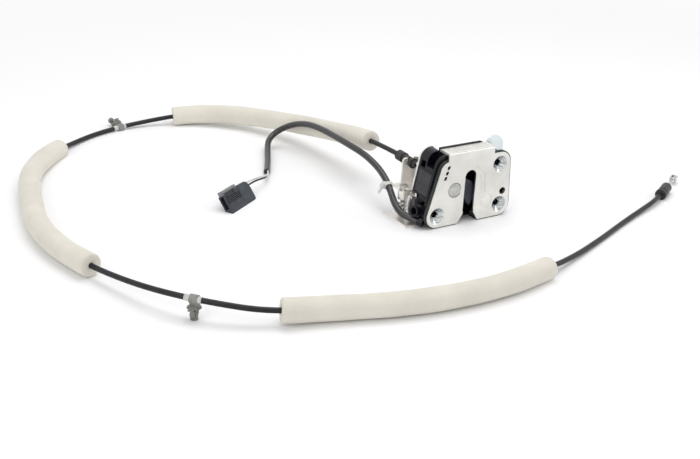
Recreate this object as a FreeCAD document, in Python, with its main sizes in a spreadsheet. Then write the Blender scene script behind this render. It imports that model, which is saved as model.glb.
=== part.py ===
import FreeCAD, Part
import math
import os
import Sketcher

# Vehicle latch with a riveted claw and pawl, a release cable with foam sleeves and a switch lead.
# Frame: origin on the mounting face at the axis of the seated striker, +X to the right seen from
# the front, -Y out of the mounting face, +Z up. Heights are first measured up from the lower edge
# of the front plate, and each sub-part's Placement lowers it by seat_height.

Vec = FreeCAD.Vector
X_AXIS = Vec(1, 0, 0)
Y_AXIS = Vec(0, 1, 0)
Z_AXIS = Vec(0, 0, 1)

doc = FreeCAD.newDocument("Latch")
sheet = doc.addObject("Spreadsheet::Sheet", "params")

SIZES = [
    # front plate
    ("seat_height", 44.0), ("plate_t", 2.5), ("flange_depth", 15.5), ("plate_top", 74.5),
    ("flange_left", 28.2), ("flange_right", 26.0), ("bend_r", 2.0),
    ("low_seat_h", 12.0), ("left_seat_x", 36.9), ("right_seat_x", 37.2), ("ear_r", 12.0),
    ("top_seat_x", 34.2), ("top_seat_h", 55.0), ("top_ear_r", 12.4),
    ("shoulder_x", 26.5), ("shoulder_drop", 18.0), ("shoulder_r", 10.0),
    ("slot_half", 6.4), ("slot_end_h", 47.4), ("mouth_half", 12.2), ("mouth_h", 9.0),
    ("panel_depth", 0.6), ("panel_gap", 5.6), ("window_w", 3.0), ("window_gap", 1.6),
    # screw seats pressed into the plate
    ("screw_cone_r", 8.4), ("screw_lead_r", 4.1), ("screw_bore_r", 3.4),
    ("collar_r", 6.6), ("collar_end", 11.0), ("seat_wall", 1.6),
    ("locator_x", 40.2), ("locator_h", 25.7), ("locator_r", 3.6),
    # case, seal and back plate
    ("rim", 1.2), ("seal_t", 1.5), ("seal_front", 0.9), ("seal_gap", 0.15), ("case_back", 18.0), ("case_wall", 2.0), ("deep_back", 30.0),
    ("deep_right", 25.2), ("corner_x", 29.6), ("corner_h", 61.3), ("corner_r", 10.7),
    ("back_plate_t", 2.0), ("lobe_x", 38.6), ("lobe_h", 66.4), ("lobe_r", 11.6), ("lobe_run", 12.0),
    ("lip_r", 7.0), ("lip_rise", 1.0), ("ear_fall", 1.5),
    ("side_window_low", 7.0), ("side_window_high", 54.0), ("cover_low", 30.0), ("cover_t", 2.0),
    ("collar_gap", 0.4), ("fold_gap", 0.3), ("room_r", 4.0), ("cover_inset", 8.6),
    ("cover_base", 12.0), ("cover_left_top", 58.0), ("cover_right_top", 52.0),
    # claw and its rivet
    ("claw_x", 18.3), ("claw_h", 36.0), ("claw_pin_r", 4.5), ("claw_head_r", 6.9),
    ("claw_head_t", 1.3), ("head_gap", 0.35), ("claw_t", 7.6), ("claw_core_t", 5.0), ("claw_skin", 1.2),
    ("claw_hub_r", 12.4), ("claw_turn", 78.0), ("upper_horn_r", 30.5), ("lower_horn_r", 33.8),
    ("notch_half", 5.3), ("running_gap", 0.06), ("side_gap", 0.5),
    # pawl and its rivet
    ("pawl_x", 19.9), ("pawl_h", 18.5), ("pawl_pin_r", 3.0), ("pawl_hub_r", 6.5),
    ("pawl_reach", 13.2), ("pawl_gap", 0.4), ("pawl_engage", 24.0), ("pawl_lift", 4.0),
    ("pawl_t", 7.0), ("stud_r", 2.0), ("stud_reach", 9.0), ("stud_turn", 76.0),
    # springs
    ("claw_wire_r", 0.75), ("pawl_wire_r", 0.6), ("lever_wire_r", 0.95),
    ("spring_clear", 1.2), ("lever_spring_pitch", 4.2), ("lever_spring_turns", 3.0),
    # release lever, its pin and the link rod
    ("lever_x", 50.5), ("lever_y", 40.0), ("lever_pin_r", 2.4), ("lever_hub_r", 5.4),
    ("lever_hub_low", 18.0), ("lever_hub_t", 9.0), ("finger_w", 3.0), ("link_y", 22.8),
    ("link_h", 27.2), ("link_r", 1.5), ("link_left", 47.2), ("post_left", 38.9), ("post_w", 5.2),
    ("post_front", 36.6), ("post_t", 2.2), ("blade_low", 8.0), ("blade_deep", 5.6),
    # cable bracket at the back
    ("bracket_t", 2.0), ("rivet_r", 2.0), ("shelf_h", 28.2), ("shelf_left", 57.0), ("bracket_right", 25.0),
    ("tab_y", 50.0), ("tab_half", 9.3), ("tab_rise", 4.8), ("foot_left", 63.0),
    ("foot_front", 13.5), ("wall_grow", 0.6), ("window_edge", 0.9),
    # release cable
    ("cable_x", 37.7), ("cable_h", 50.8), ("cable_d", 5.0), ("ferrule_r", 4.4),
    ("ferrule_neck_r", 3.8), ("ferrule_front", 40.0), ("ferrule_len", 32.0), ("nose_r", 3.5),
    ("nose_len", 4.0), ("disc_r", 5.2), ("disc_t", 1.6), ("rear_collar_r", 5.4),
    ("rear_collar_len", 10.0), ("wire_r", 0.75), ("wire_bore_r", 1.3), ("nipple_r", 2.2),
    ("nipple_len", 2.8), ("foam_r", 11.0), ("tape_t", 0.3), ("tape_len", 15.0),
    ("far_len", 26.0), ("far_r", 5.5), ("far_collar_r", 5.9), ("far_turn", 31.0),
    ("loop_w", 6.6), ("loop_len", 11.0), ("loop_t", 1.2), ("bare_wire", 27.0),
    # clips on the cable
    ("clip_band_t", 1.0), ("clip_band_w", 7.0), ("clip_stem_len", 14.0), ("clip_stem_r", 3.3),
    ("clip_dish_r", 6.2), ("clip_wing", 8.0),
    # switch and its lead
    ("switch_w", 6.5), ("switch_len", 12.8), ("switch_t", 5.8), ("switch_x", 39.6),
    ("switch_low", 30.0), ("plunger_r", 0.9), ("plunger_out", 1.2),
    ("tube_d", 6.8), ("lead_wire_d", 1.9), ("gland_len", 6.0), ("gland_r", 4.4),
    ("boot_len", 12.0), ("boot_wide_r", 4.8), ("boot_thin_r", 2.2),
    ("plug_len", 44.3), ("plug_w", 20.2), ("plug_t", 7.0), ("plug_wall", 1.3), ("plug_deep", 16.0),
    ("plug_x", 199.2), ("plug_y", 113.4), ("plug_turn", 32.8), ("plug_lean", 56.3),
    ("pin_w", 2.8), ("pin_t", 0.8),
    ("floor_gap", 1.2),
]

for row, (word, number) in enumerate(SIZES, start=1):
    sheet.set("A%d" % row, word)
    sheet.set("B%d" % row, str(number))
    sheet.setAlias("B%d" % row, word)
doc.recompute()


class Values:
    """The sheet's numbers, read once under their own names."""


v = Values()
for word, _ in SIZES:
    setattr(v, word, float(getattr(sheet, word)))

case_front = v.plate_t + v.seal_t
back_plate_end = v.case_back + v.back_plate_t
claw_front = case_front + v.side_gap
claw_centre = Vec(-v.claw_x, 0, v.claw_h)
pawl_centre = Vec(v.pawl_x, 0, v.pawl_h)
floor_h = -v.floor_gap
shoulder_h = v.plate_top - v.shoulder_drop
nodes = []


# Helpers for shapes

def at(x, h, y=0.0):
    return Vec(x, y, h)


def polar(centre, radius, degrees):
    angle = math.radians(degrees)
    return centre + Vec(radius * math.cos(angle), 0, radius * math.sin(angle))


def polygon(points, y, depth):
    """A prism: points (x, h) seen from the front, from y back to y + depth."""
    corners = [at(x, h, y) for x, h in points]
    wire = Part.makePolygon(corners + [corners[0]])
    return Part.Face(wire).extrude(Vec(0, depth, 0))


def box(x, y, h, x_len, y_len, h_len):
    return Part.makeBox(x_len, y_len, h_len, Vec(x, y, h))


def rod(x, h, radius, y, length):
    return Part.makeCylinder(radius, length, Vec(x, y, h), Y_AXIS)


def upright(x, y, radius, h, length):
    return Part.makeCylinder(radius, length, Vec(x, y, h), Z_AXIS)


def hull(circles, grow, y, depth):
    """A prism round circles (x, h, r) taken anticlockwise, joined by their outer tangents."""
    edges = []
    tangents = []
    for first, second in zip(circles, circles[1:] + circles[:1]):
        run = Vec(second[0] - first[0], 0, second[1] - first[1])
        length = run.Length
        run.normalize()
        lean = (first[2] - second[2]) / length
        side = Vec(run.z, 0, -run.x) * math.sqrt(1 - lean * lean) + run * lean
        start = at(first[0], first[1], y) + side * (first[2] + grow)
        end = at(second[0], second[1], y) + side * (second[2] + grow)
        tangents.append((start, end, side))
        edges.append(Part.LineSegment(start, end).toShape())
    arcs = []
    for index, circle in enumerate(circles):
        before = tangents[index - 1]
        after = tangents[index]
        middle = before[2] + after[2]
        middle.normalize()
        top = at(circle[0], circle[1], y) + middle * (circle[2] + grow)
        arcs.append(Part.Arc(before[1], top, after[0]).toShape())
    ordered = []
    for arc, edge in zip(arcs, edges):
        ordered.extend([arc, edge])
    return Part.Face(Part.Wire(ordered)).extrude(Vec(0, depth, 0))


def slot_prism(half, grow, y, depth):
    """The striker's slot: round top, straight sides and a flared mouth, open below."""
    low = v.floor_gap + v.rim + 1.0
    straight = polygon(
        [(-half - grow, v.mouth_h), (half + grow, v.mouth_h),
         (half + grow, v.slot_end_h), (-half - grow, v.slot_end_h)], y, depth)
    mouth = polygon(
        [(-v.mouth_half - grow, -low), (v.mouth_half + grow, -low), (v.mouth_half + grow, 0),
         (half + grow, v.mouth_h), (-half - grow, v.mouth_h), (-v.mouth_half - grow, 0)], y, depth)
    top = rod(0, v.slot_end_h, half + grow, y, depth)
    return straight.fuse([mouth, top]).removeSplitter()


def keep(label, shape):
    """Put a finished shape into the document under its own name, lowered to the row's frame."""
    item = doc.addObject("Part::Feature", label)
    item.Label = label
    place = shape.Placement
    item.Shape = shape
    lowered = FreeCAD.Placement(Vec(0, 0, -v.seat_height), FreeCAD.Rotation())
    item.Placement = lowered.multiply(place)
    nodes.append(item)
    return item


def cylinder(name, radius, length, x, y, h, axis=None):
    """A cylinder from sheet expressions; axis is "y" for front to back, else it stands up."""
    item = doc.addObject("Part::Cylinder", name)
    item.setExpression("Radius", radius)
    item.setExpression("Height", length)
    if axis == "y":
        item.Placement = FreeCAD.Placement(Vec(), FreeCAD.Rotation(X_AXIS, -90))
    if axis == "x":
        item.Placement = FreeCAD.Placement(Vec(), FreeCAD.Rotation(Y_AXIS, 90))
    item.setExpression("Placement.Base.x", x)
    item.setExpression("Placement.Base.y", y)
    item.setExpression("Placement.Base.z", h)
    return item


def block(name, x, y, h, x_len, y_len, h_len):
    item = doc.addObject("Part::Box", name)
    item.setExpression("Length", x_len)
    item.setExpression("Width", y_len)
    item.setExpression("Height", h_len)
    item.setExpression("Placement.Base.x", x)
    item.setExpression("Placement.Base.y", y)
    item.setExpression("Placement.Base.z", h)
    return item


def joined(label, pieces):
    """A union of primitives kept as one sub-part."""
    item = doc.addObject("Part::MultiFuse", label)
    item.Shapes = pieces
    item.Label = label
    item.setExpression("Placement.Base.z", "-params.seat_height")
    nodes.append(item)
    return item


def less(label, base, tool, kept=True):
    item = doc.addObject("Part::Cut", label)
    item.Base = base
    item.Tool = tool
    item.Label = label
    if kept:
        item.setExpression("Placement.Base.z", "-params.seat_height")
        nodes.append(item)
    return item


def turned_body(label, profile):
    """A PartDesign revolution about the body's Z axis; profile holds (radius, height) terms."""
    body = doc.addObject("PartDesign::Body", label)
    body.Label = label
    outline = body.newObject("Sketcher::SketchObject", label + "_profile")
    plane = [item for item in body.Origin.OriginFeatures if item.Role == "XZ_Plane"][0]
    outline.AttachmentSupport = [(plane, "")]
    outline.MapMode = "FlatFace"
    count = len(profile)
    for index in range(count):
        start = profile[index]
        end = profile[(index + 1) % count]
        line = Part.LineSegment(Vec(start[0][0], start[1][0], 0), Vec(end[0][0], end[1][0], 0))
        outline.addGeometry(line)
    for index in range(count):
        after = (index + 1) % count
        outline.addConstraint(Sketcher.Constraint("Coincident", index, 2, after, 1))
    for index in range(count):
        for kind, (number, expression) in zip(("DistanceX", "DistanceY"), profile[index]):
            if expression == "0":
                axis = -2 if kind == "DistanceX" else -1
                outline.addConstraint(Sketcher.Constraint("PointOnObject", index, 1, axis))
                continue
            place = outline.addConstraint(Sketcher.Constraint(kind, -1, 1, index, 1, number))
            outline.setExpression("Constraints[%d]" % place, expression)
    turn = body.newObject("PartDesign::Revolution", label + "_turn")
    turn.Profile = outline
    turn.ReferenceAxis = (outline, ["V_Axis"])
    turn.Angle = 360
    nodes.append(body)
    return body


def term(*words):
    """A size written as a sum of the sheet's words, as its number and its expression."""
    number = 0.0
    text = ""
    for word in words:
        sign = "-" if word.startswith("-") else "+"
        name = word.lstrip("-")
        number += getattr(v, name) * (-1 if sign == "-" else 1)
        text += (sign if text or sign == "-" else "") + "params." + name
    return number, text


ZERO = (0.0, "0")


# Front plate: ears round the screw seats, a folded top flange and pressed countersinks

LEFT_SEAT = (-v.left_seat_x, v.low_seat_h)
RIGHT_SEAT = (v.right_seat_x, v.low_seat_h)
TOP_SEAT = (v.top_seat_x, v.top_seat_h)
SEATS = [LEFT_SEAT, RIGHT_SEAT, TOP_SEAT]
EARS = [
    LEFT_SEAT + (v.ear_r,),
    RIGHT_SEAT + (v.ear_r,),
    TOP_SEAT + (v.top_ear_r,),
    (-v.shoulder_x, shoulder_h, v.shoulder_r),
]


def seat_metal(x, h):
    """The metal of one pressed countersink with its threaded collar behind the sheet."""
    cone_end = v.screw_cone_r - v.screw_lead_r
    shell = Part.makeCone(v.screw_cone_r + v.seat_wall, v.screw_lead_r + v.seat_wall,
                          cone_end, Vec(x, v.plate_t * 0.4, h), Y_AXIS)
    collar = rod(x, h, v.collar_r, v.plate_t, v.collar_end - v.plate_t)
    return shell.fuse(collar)


def seat_hole(x, h):
    cone_end = v.screw_cone_r - v.screw_lead_r
    cone = Part.makeCone(v.screw_cone_r, v.screw_lead_r, cone_end, Vec(x, 0, h), Y_AXIS)
    lead = rod(x, h, v.screw_lead_r, cone_end, 0.8)
    return cone.fuse([lead, rod(x, h, v.screw_bore_r, 0, v.collar_end + 1)])


def pressed_panel():
    """The panel round the slot and over the pawl's pivot, pressed inward."""
    reach = v.slot_half + v.panel_gap
    round_top = rod(0, v.slot_end_h, reach, 0, v.panel_depth)
    pivot_r = v.pawl_hub_r + 1.6
    side = [(-reach, v.low_seat_h), (v.pawl_x - pivot_r, v.low_seat_h),
            (v.pawl_x, v.pawl_h - pivot_r), (v.pawl_x + pivot_r - 0.6, v.pawl_h - 4.0),
            (v.pawl_x + pivot_r - 0.6, v.pawl_h + 1.0), (v.pawl_x + 5.0, v.pawl_h + 5.4),
            (v.pawl_x - 0.8, v.pawl_h + 9.4), (v.pawl_x - 1.6, v.pawl_h + 14.0),
            (reach + 4.8, v.slot_end_h + 0.6), (reach - 2.0, v.slot_end_h + 6.0),
            (-reach, v.slot_end_h)]
    pivot = rod(v.pawl_x, v.pawl_h, pivot_r, 0, v.panel_depth)
    raised = rod(v.pawl_x, v.pawl_h, v.pawl_hub_r * 0.7, 0, v.panel_depth)
    crease = polygon([(reach - 0.9, v.slot_end_h), (reach - 0.1, v.slot_end_h),
                      (reach + 3.1, v.pawl_h + 11.0), (reach + 2.3, v.pawl_h + 11.0)],
                     v.panel_depth, v.panel_depth * 0.6)
    panel = round_top.fuse([polygon(side, 0, v.panel_depth), pivot]).removeSplitter()
    return panel.cut(raised).fuse(crease)


def plate_windows():
    """Three small slanted windows below the plate's rounded shoulder."""
    lean = 0.27
    tall = (v.shoulder_drop - 4.0 - 2 * v.window_gap) / 3
    holes = []
    for index in range(3):
        low = shoulder_h - 8.4 + index * (tall + v.window_gap)
        left = -v.shoulder_x - 5.8 + lean * (low - shoulder_h + 8.4)
        holes.append(polygon([(left, low), (left + v.window_w, low),
                              (left + v.window_w + lean * tall, low + tall),
                              (left + lean * tall, low + tall)], -1, v.plate_t + 2))
    return holes


def plate_top_outline(grow, y, depth):
    """The straight upper part of the plate, under its flange."""
    return polygon([(-v.flange_left - grow, shoulder_h - grow),
                    (v.flange_right + grow, shoulder_h - grow),
                    (v.flange_right + grow, v.plate_top + grow),
                    (-v.flange_left - grow, v.plate_top + grow)], y, depth)


def front_plate():
    sheet_metal = hull(EARS, 0, 0, v.plate_t)
    top = plate_top_outline(0, 0, v.plate_t)
    flange = box(-v.flange_left, 0, v.plate_top - v.plate_t,
                 v.flange_left + v.flange_right, v.flange_depth, v.plate_t)
    plate = sheet_metal.fuse([top, flange]).removeSplitter()
    fold = [edge for edge in plate.Edges
            if abs(edge.CenterOfMass.y) < 0.01 and abs(edge.CenterOfMass.z - v.plate_top) < 0.01]
    plate = plate.makeFillet(v.bend_r, fold)
    metal = [seat_metal(x, h) for x, h in SEATS]
    plate = plate.fuse(metal)
    holes = [seat_hole(x, h) for x, h in SEATS]
    holes.append(rod(v.locator_x, v.locator_h, v.locator_r, -1, v.plate_t + 2))
    holes.append(slot_prism(v.slot_half, 0, -1, v.plate_t + 2))
    holes.append(rod(-v.claw_x, v.claw_h, v.claw_pin_r, -1, v.plate_t + 2))
    holes.append(rod(-v.claw_x, v.claw_h, v.claw_head_r + v.head_gap, -1, v.claw_head_t + 1))
    holes.append(pressed_panel())
    holes.extend(plate_windows())
    for share in (0.3, 0.5, 0.7):
        groove = box(-v.flange_left + 3.0, v.flange_depth * share, v.plate_top - 0.3,
                     v.flange_left + v.flange_right - 6.0, 0.6, 1.0)
        holes.append(groove)
    return plate.cut(holes).removeSplitter()


keep("front_plate", front_plate())


# Rubber seal between the plate and the case, standing proud of the plate's edge

def face_seal():
    deep = case_front - v.seal_front
    outer = hull(EARS, v.rim, v.seal_front, deep)
    edge = hull(EARS, v.seal_gap, v.seal_front - 1, v.plate_t - v.seal_front + 1)
    inner = hull(EARS, -3.0, v.plate_t - 1, v.seal_t + 2)
    flange = plate_top_outline(v.seal_gap, v.seal_front - 1, v.flange_depth)
    cuts = [edge, inner, flange,
            slot_prism(v.slot_half, v.rim * 0.6, v.seal_front - 1, deep + 2)]
    for x, h in SEATS:
        cuts.append(rod(x, h, v.screw_cone_r + v.seat_wall + v.collar_gap, v.plate_t, v.seal_t))
    cuts.append(rod(v.locator_x, v.locator_h, v.locator_r + v.collar_gap, v.plate_t, v.seal_t))
    ring = outer.cut(cuts)
    biggest = max(solid.Volume for solid in ring.Solids)
    return Part.makeCompound([solid for solid in ring.Solids if solid.Volume > 0.02 * biggest])


keep("face_seal", face_seal())


# Case: black moulding that holds the claw and the pawl, with a deep block on its left

def claw_room():
    """The space the claw sweeps, with room behind it for its spring."""
    sweep = v.lower_horn_r + 1.4
    start, end = -124.0, v.claw_turn + 34.0
    arc = Part.Arc(polar(claw_centre, sweep, start), polar(claw_centre, sweep, (start + end) / 2),
                   polar(claw_centre, sweep, end)).toShape()
    sides = [Part.LineSegment(polar(claw_centre, sweep, end), claw_centre).toShape(),
             Part.LineSegment(claw_centre, polar(claw_centre, sweep, start)).toShape()]
    depth = v.case_back - v.case_wall - case_front + 1
    fan = Part.Face(Part.Wire([arc] + sides)).extrude(Vec(0, depth, 0))
    fan.translate(Vec(0, case_front - 1, 0))
    hub = rod(-v.claw_x, v.claw_h, v.claw_hub_r + 4.2, case_front - 1, depth)
    limit = hull(EARS, -v.case_wall, case_front - 1, depth)
    return fan.fuse(hub).common(limit)


def pawl_room():
    depth = v.case_back - v.case_wall - case_front + 1
    reach = v.pawl_reach + 3.4
    swing = rod(v.pawl_x, v.pawl_h, reach, case_front - 1, depth)
    limit = polygon([(0, v.pawl_h - 9.5), (v.pawl_x + 7.6, v.pawl_h - 9.5),
                     (v.pawl_x + 9.4, v.pawl_h + 20), (0, v.pawl_h + 20)], case_front - 1, depth)
    return swing.common(limit)


def switch_room():
    depth = v.switch_t + 1.2
    return box(-v.switch_x - 0.3, case_front - 1, v.switch_low - 2.0,
               v.switch_w + 6.0, depth + 2, v.switch_len + 4.0)


def deep_block(grow, y, depth):
    """The left block seen from the front: a slanted side and a large round upper corner."""
    edge = 3.0
    right = -v.deep_right - edge
    circles = [LEFT_SEAT + (v.ear_r + v.rim,), (right, edge - v.rim, edge),
               (right, v.corner_h + v.corner_r - edge, edge),
               (-v.corner_x, v.corner_h, v.corner_r)]
    return hull(circles, grow, y, depth)


def rivet_places():
    return [(-v.deep_right - 5.5, v.shelf_h + 20.0), (-v.deep_right - 7.0, v.low_seat_h - 4.0)]


def lock_case():
    low_ear = (v.top_seat_x, v.top_seat_h - v.ear_fall, v.top_ear_r - v.ear_fall)
    circles = EARS[:2] + [low_ear] + EARS[3:]
    body = hull(circles, v.rim, case_front, v.case_back - case_front)
    under = v.plate_top - v.plate_t - v.fold_gap
    wide = v.flange_left + v.flange_right
    lip_y = v.flange_depth + v.fold_gap
    lip = box(-v.flange_left, lip_y, shoulder_h, wide, v.case_back - lip_y,
              v.plate_top + v.lip_rise - shoulder_h)
    corner = [edge for edge in lip.Edges
              if edge.CenterOfMass.x > v.flange_right - 0.01
              and edge.CenterOfMass.z > v.plate_top and abs(edge.tangentAt(0).y) > 0.9]
    body = body.fuse([
        box(-v.flange_left, case_front, shoulder_h, wide, v.case_back - case_front,
            under - shoulder_h),
        lip.makeFillet(v.lip_r, corner),
        deep_block(0, case_front, v.deep_back - case_front),
    ]).removeSplitter()
    flange_room = box(-v.flange_left - v.fold_gap, 0, under, wide + 2 * v.fold_gap, lip_y,
                      v.plate_t + 2 * v.fold_gap)
    depth = v.case_back - case_front - v.case_wall
    cuts = [claw_room(), pawl_room(), switch_room(), flange_room,
            slot_prism(v.slot_half, 0, case_front - 1, depth + 1)]
    for x, h in SEATS:
        cuts.append(rod(x, h, v.collar_r + v.collar_gap, case_front - 1,
                        v.deep_back - case_front + 2))
        cone_end = v.screw_cone_r - v.screw_lead_r
        cuts.append(Part.makeCone(v.screw_cone_r + v.seat_wall + v.collar_gap,
                                  v.screw_lead_r + v.seat_wall + v.collar_gap,
                                  cone_end, Vec(x, v.plate_t * 0.4, h), Y_AXIS))
    cuts.append(rod(v.locator_x, v.locator_h, v.locator_r + v.collar_gap, 0, v.case_back))
    cuts.append(rod(-v.claw_x, v.claw_h, v.claw_pin_r, 0, v.case_back + 1))
    cuts.append(rod(v.pawl_x, v.pawl_h, v.pawl_pin_r, 0, v.case_back + 1))
    cuts.append(stud_window(v.case_back - v.case_wall - 1, v.case_wall + 2))
    cuts.extend(side_cuts())
    for x, h in rivet_places():
        cuts.append(rod(x, h, v.rivet_r, v.deep_back - 6.0, 8.0))
    return body.cut(cuts).removeSplitter()


def stud_window(y, depth):
    """The window through which the pawl's stud reaches the link rod."""
    reach = v.stud_reach + v.stud_r + 0.8
    inner = v.stud_reach - v.stud_r - 0.8
    start = v.stud_turn - v.pawl_lift - 16.0
    end = v.stud_turn + v.pawl_engage + 16.0
    outer_arc = Part.Arc(polar(pawl_centre, reach, start), polar(pawl_centre, reach, (start + end) / 2),
                         polar(pawl_centre, reach, end)).toShape()
    inner_arc = Part.Arc(polar(pawl_centre, inner, end), polar(pawl_centre, inner, (start + end) / 2),
                         polar(pawl_centre, inner, start)).toShape()
    sides = [Part.LineSegment(polar(pawl_centre, reach, end), polar(pawl_centre, inner, end)).toShape(),
             Part.LineSegment(polar(pawl_centre, inner, start),
                              polar(pawl_centre, reach, start)).toShape()]
    window = Part.Face(Part.Wire([outer_arc, sides[0], inner_arc, sides[1]])).extrude(Vec(0, depth, 0))
    window.translate(Vec(0, y, 0))
    return window


def cover_place(deep, clear):
    """The skin of the left block where the switch cover sits, that far in from its face."""
    far_left = -v.left_seat_x - v.ear_r - v.rim - 1
    ring = deep_block(0.5 if clear == 0 else 0, case_front, v.deep_back - case_front).cut(
        deep_block(-deep, case_front, v.deep_back - case_front))
    slab = box(far_left, case_front + 3.0 + clear, v.cover_low + 1.0 + clear, 16.0,
               v.deep_back - case_front - 5.4 - 2 * clear,
               v.side_window_high - v.cover_low - 2.0 - 2 * clear)
    return ring.common(slab)


def side_cuts():
    """Pockets in the left block: the upper corner recess, the switch bay and the lower lever bay."""
    wall = v.case_wall
    far_left = -v.left_seat_x - v.ear_r - v.rim - 1
    corner = box(far_left, case_front + wall, v.corner_h - 2.5,
                 -far_left - v.deep_right - 3.4, 12.0, v.corner_r + 4.0)
    ledge = box(far_left, v.case_back + wall, v.side_window_high + 1.5,
                -far_left - v.deep_right - 6.0, v.deep_back - v.case_back - 2.6 * wall, 6.5)
    bay = cover_place(v.cover_t + 0.2, 0.0)
    low = box(far_left, case_front + 3.0, v.side_window_low,
              -far_left - v.deep_right - 2.0, v.deep_back - case_front - 3.0 + 1.0,
              v.cover_low - v.side_window_low - 0.6)
    room = low.cut(box(far_left, 0, 0, -far_left - v.deep_right, v.case_back + 0.5, v.cover_low))
    lip = box(far_left, case_front + 3.0, v.side_window_low + 14.0, 12.0, 12.0, 5.0)
    through = box(-v.deep_right - 3.0, v.case_back, v.link_h - 3.0, 6.0, 8.0, 6.0)
    return [corner, ledge, bay, room, lip, through]


keep("lock_case", lock_case())


# Switch cover: dark grey side moulding with a step, clipped over the left block's switch bay

keep("switch_cover", cover_place(v.cover_t, 0.15))


# Back plate: steel sheet that ties the rivets, with the rounded lobe at its upper right

def back_plate():
    lower = hull(EARS, -v.rim, v.case_back, v.back_plate_t)
    lobe = hull([(v.lobe_x - 4.0, v.lobe_h - v.lobe_run / 2, v.lobe_r),
                 (v.lobe_x, v.lobe_h - v.lobe_run, v.lobe_r), (v.lobe_x, v.lobe_h, v.lobe_r)],
                0, v.case_back, v.back_plate_t)
    blank = lower.fuse(lobe).removeSplitter()
    cuts = [rod(-v.claw_x, v.claw_h, v.claw_pin_r, v.case_back - 1, 4),
            rod(v.pawl_x, v.pawl_h, v.pawl_pin_r, v.case_back - 1, 4),
            rod(v.locator_x, v.locator_h, v.locator_r + v.collar_gap, v.case_back - 1, 4),
            stud_window(v.case_back - 1, 4),
            deep_block(v.fold_gap, v.case_back - 1, 4)]
    return blank.cut(cuts).removeSplitter()


keep("back_plate", back_plate())


# Rear cover: black moulding behind the back plate that guides the link rod

def rear_cover():
    y = back_plate_end
    depth = v.deep_back - y
    left = -v.deep_right + v.cover_inset
    right = v.pawl_x + 2 * v.room_r
    corners = [(left, v.cover_base), (right, v.cover_base), (right, v.cover_right_top),
               (left, v.cover_left_top)]
    outer_r = v.room_r + v.case_wall
    outer = hull([corner + (outer_r,) for corner in corners], 0, y, depth)
    shell = outer.cut(deep_block(v.fold_gap, y - 1, depth + 2))
    inner = hull([corner + (v.room_r,) for corner in corners], 0, y - 1,
                 depth - v.case_wall + 1)
    reach = v.foot_left
    keep_left = box(-reach, y - 1, 0, reach + left - 0.2, depth + 2, v.plate_top)
    shell = shell.cut(inner.cut(keep_left))
    half = v.link_r + 0.6
    passage = box(-reach, v.link_y - half, v.link_h - half, reach + left + 2 * v.room_r,
                  2 * half, 2 * half)
    rivet_room = rod(-v.claw_x, v.claw_h, v.claw_pin_r + 2.2, y - 1, 3.0)
    return shell.cut([passage, rivet_room])


keep("rear_cover", rear_cover())


# Claw: steel core in a moulded skin, drawn in its open place

def notch_direction():
    return math.degrees(math.atan2(v.seat_height - v.claw_h, v.claw_x)) - v.claw_turn


def claw_outline(inset):
    """The claw seen from the front in its open place, drawn in by inset, before its notch."""
    around = notch_direction()
    spread = math.degrees(math.asin(v.notch_half / v.upper_horn_r))
    trim = math.degrees(inset / v.lower_horn_r)
    upper = [(v.upper_horn_r, around + spread), (v.upper_horn_r - 0.1, -35.0),
             (v.upper_horn_r - 1.9, -21.7), (v.upper_horn_r - 4.1, -4.0),
             (v.upper_horn_r - 5.9, 9.3), (v.upper_horn_r - 13.2, 27.6)]
    corners = [polar(claw_centre, radius - inset, turn) for radius, turn in upper]
    hub = v.claw_hub_r - inset
    tip = v.lower_horn_r - inset
    leave = polar(claw_centre, hub, 66.0)
    back = polar(claw_centre, hub, 150.0)
    join = polar(claw_centre, hub, 236.0)
    low = [polar(claw_centre, 21.5, -105.0 + 1.6 * trim),
           polar(claw_centre, 27.0, -103.0 + 1.3 * trim)]
    tip_start = polar(claw_centre, tip, -92.0 + trim)
    tip_top = polar(claw_centre, tip, -84.0)
    tip_end = polar(claw_centre, tip, -74.5 - trim)
    inner = polar(claw_centre, tip - 3.4, -68.0 - trim)
    edges = [Part.BSplineCurve(corners, None, None, False, 3).toShape(),
             Part.LineSegment(corners[-1], leave).toShape(),
             Part.Arc(leave, back, join).toShape()]
    chain = [join] + low + [tip_start]
    for first, second in zip(chain[:-1], chain[1:]):
        edges.append(Part.LineSegment(first, second).toShape())
    edges.append(Part.Arc(tip_start, tip_top, tip_end).toShape())
    for first, second in zip([tip_end, inner], [inner, corners[0]]):
        edges.append(Part.LineSegment(first, second).toShape())
    return Part.Wire(edges)


def claw_notch(half, y, depth):
    """The striker's notch, open along the line from the pivot through the seat."""
    around = notch_direction()
    seat = polar(claw_centre, math.hypot(v.seat_height - v.claw_h, v.claw_x), around)
    channel = Part.makeBox(2 * v.lower_horn_r, depth, 2 * half, Vec(0, 0, -half))
    channel.rotate(Vec(), Y_AXIS, -around)
    channel.translate(seat + Vec(0, y, 0))
    return channel.fuse(rod(seat.x, seat.z, half, y, depth))


def pawl_path(radius, y, depth):
    """The round face that the pawl's head slides on, where the closed claw would meet it."""
    centre = FreeCAD.Placement(Vec(), FreeCAD.Rotation(Y_AXIS, v.claw_turn), claw_centre)
    place = centre.multVec(pawl_centre)
    return rod(place.x, place.z, radius, y, depth)


def claw_blank(inset, y, depth):
    blank = Part.Face(claw_outline(inset)).extrude(Vec(0, depth, 0))
    blank.translate(Vec(0, y, 0))
    return blank


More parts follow.
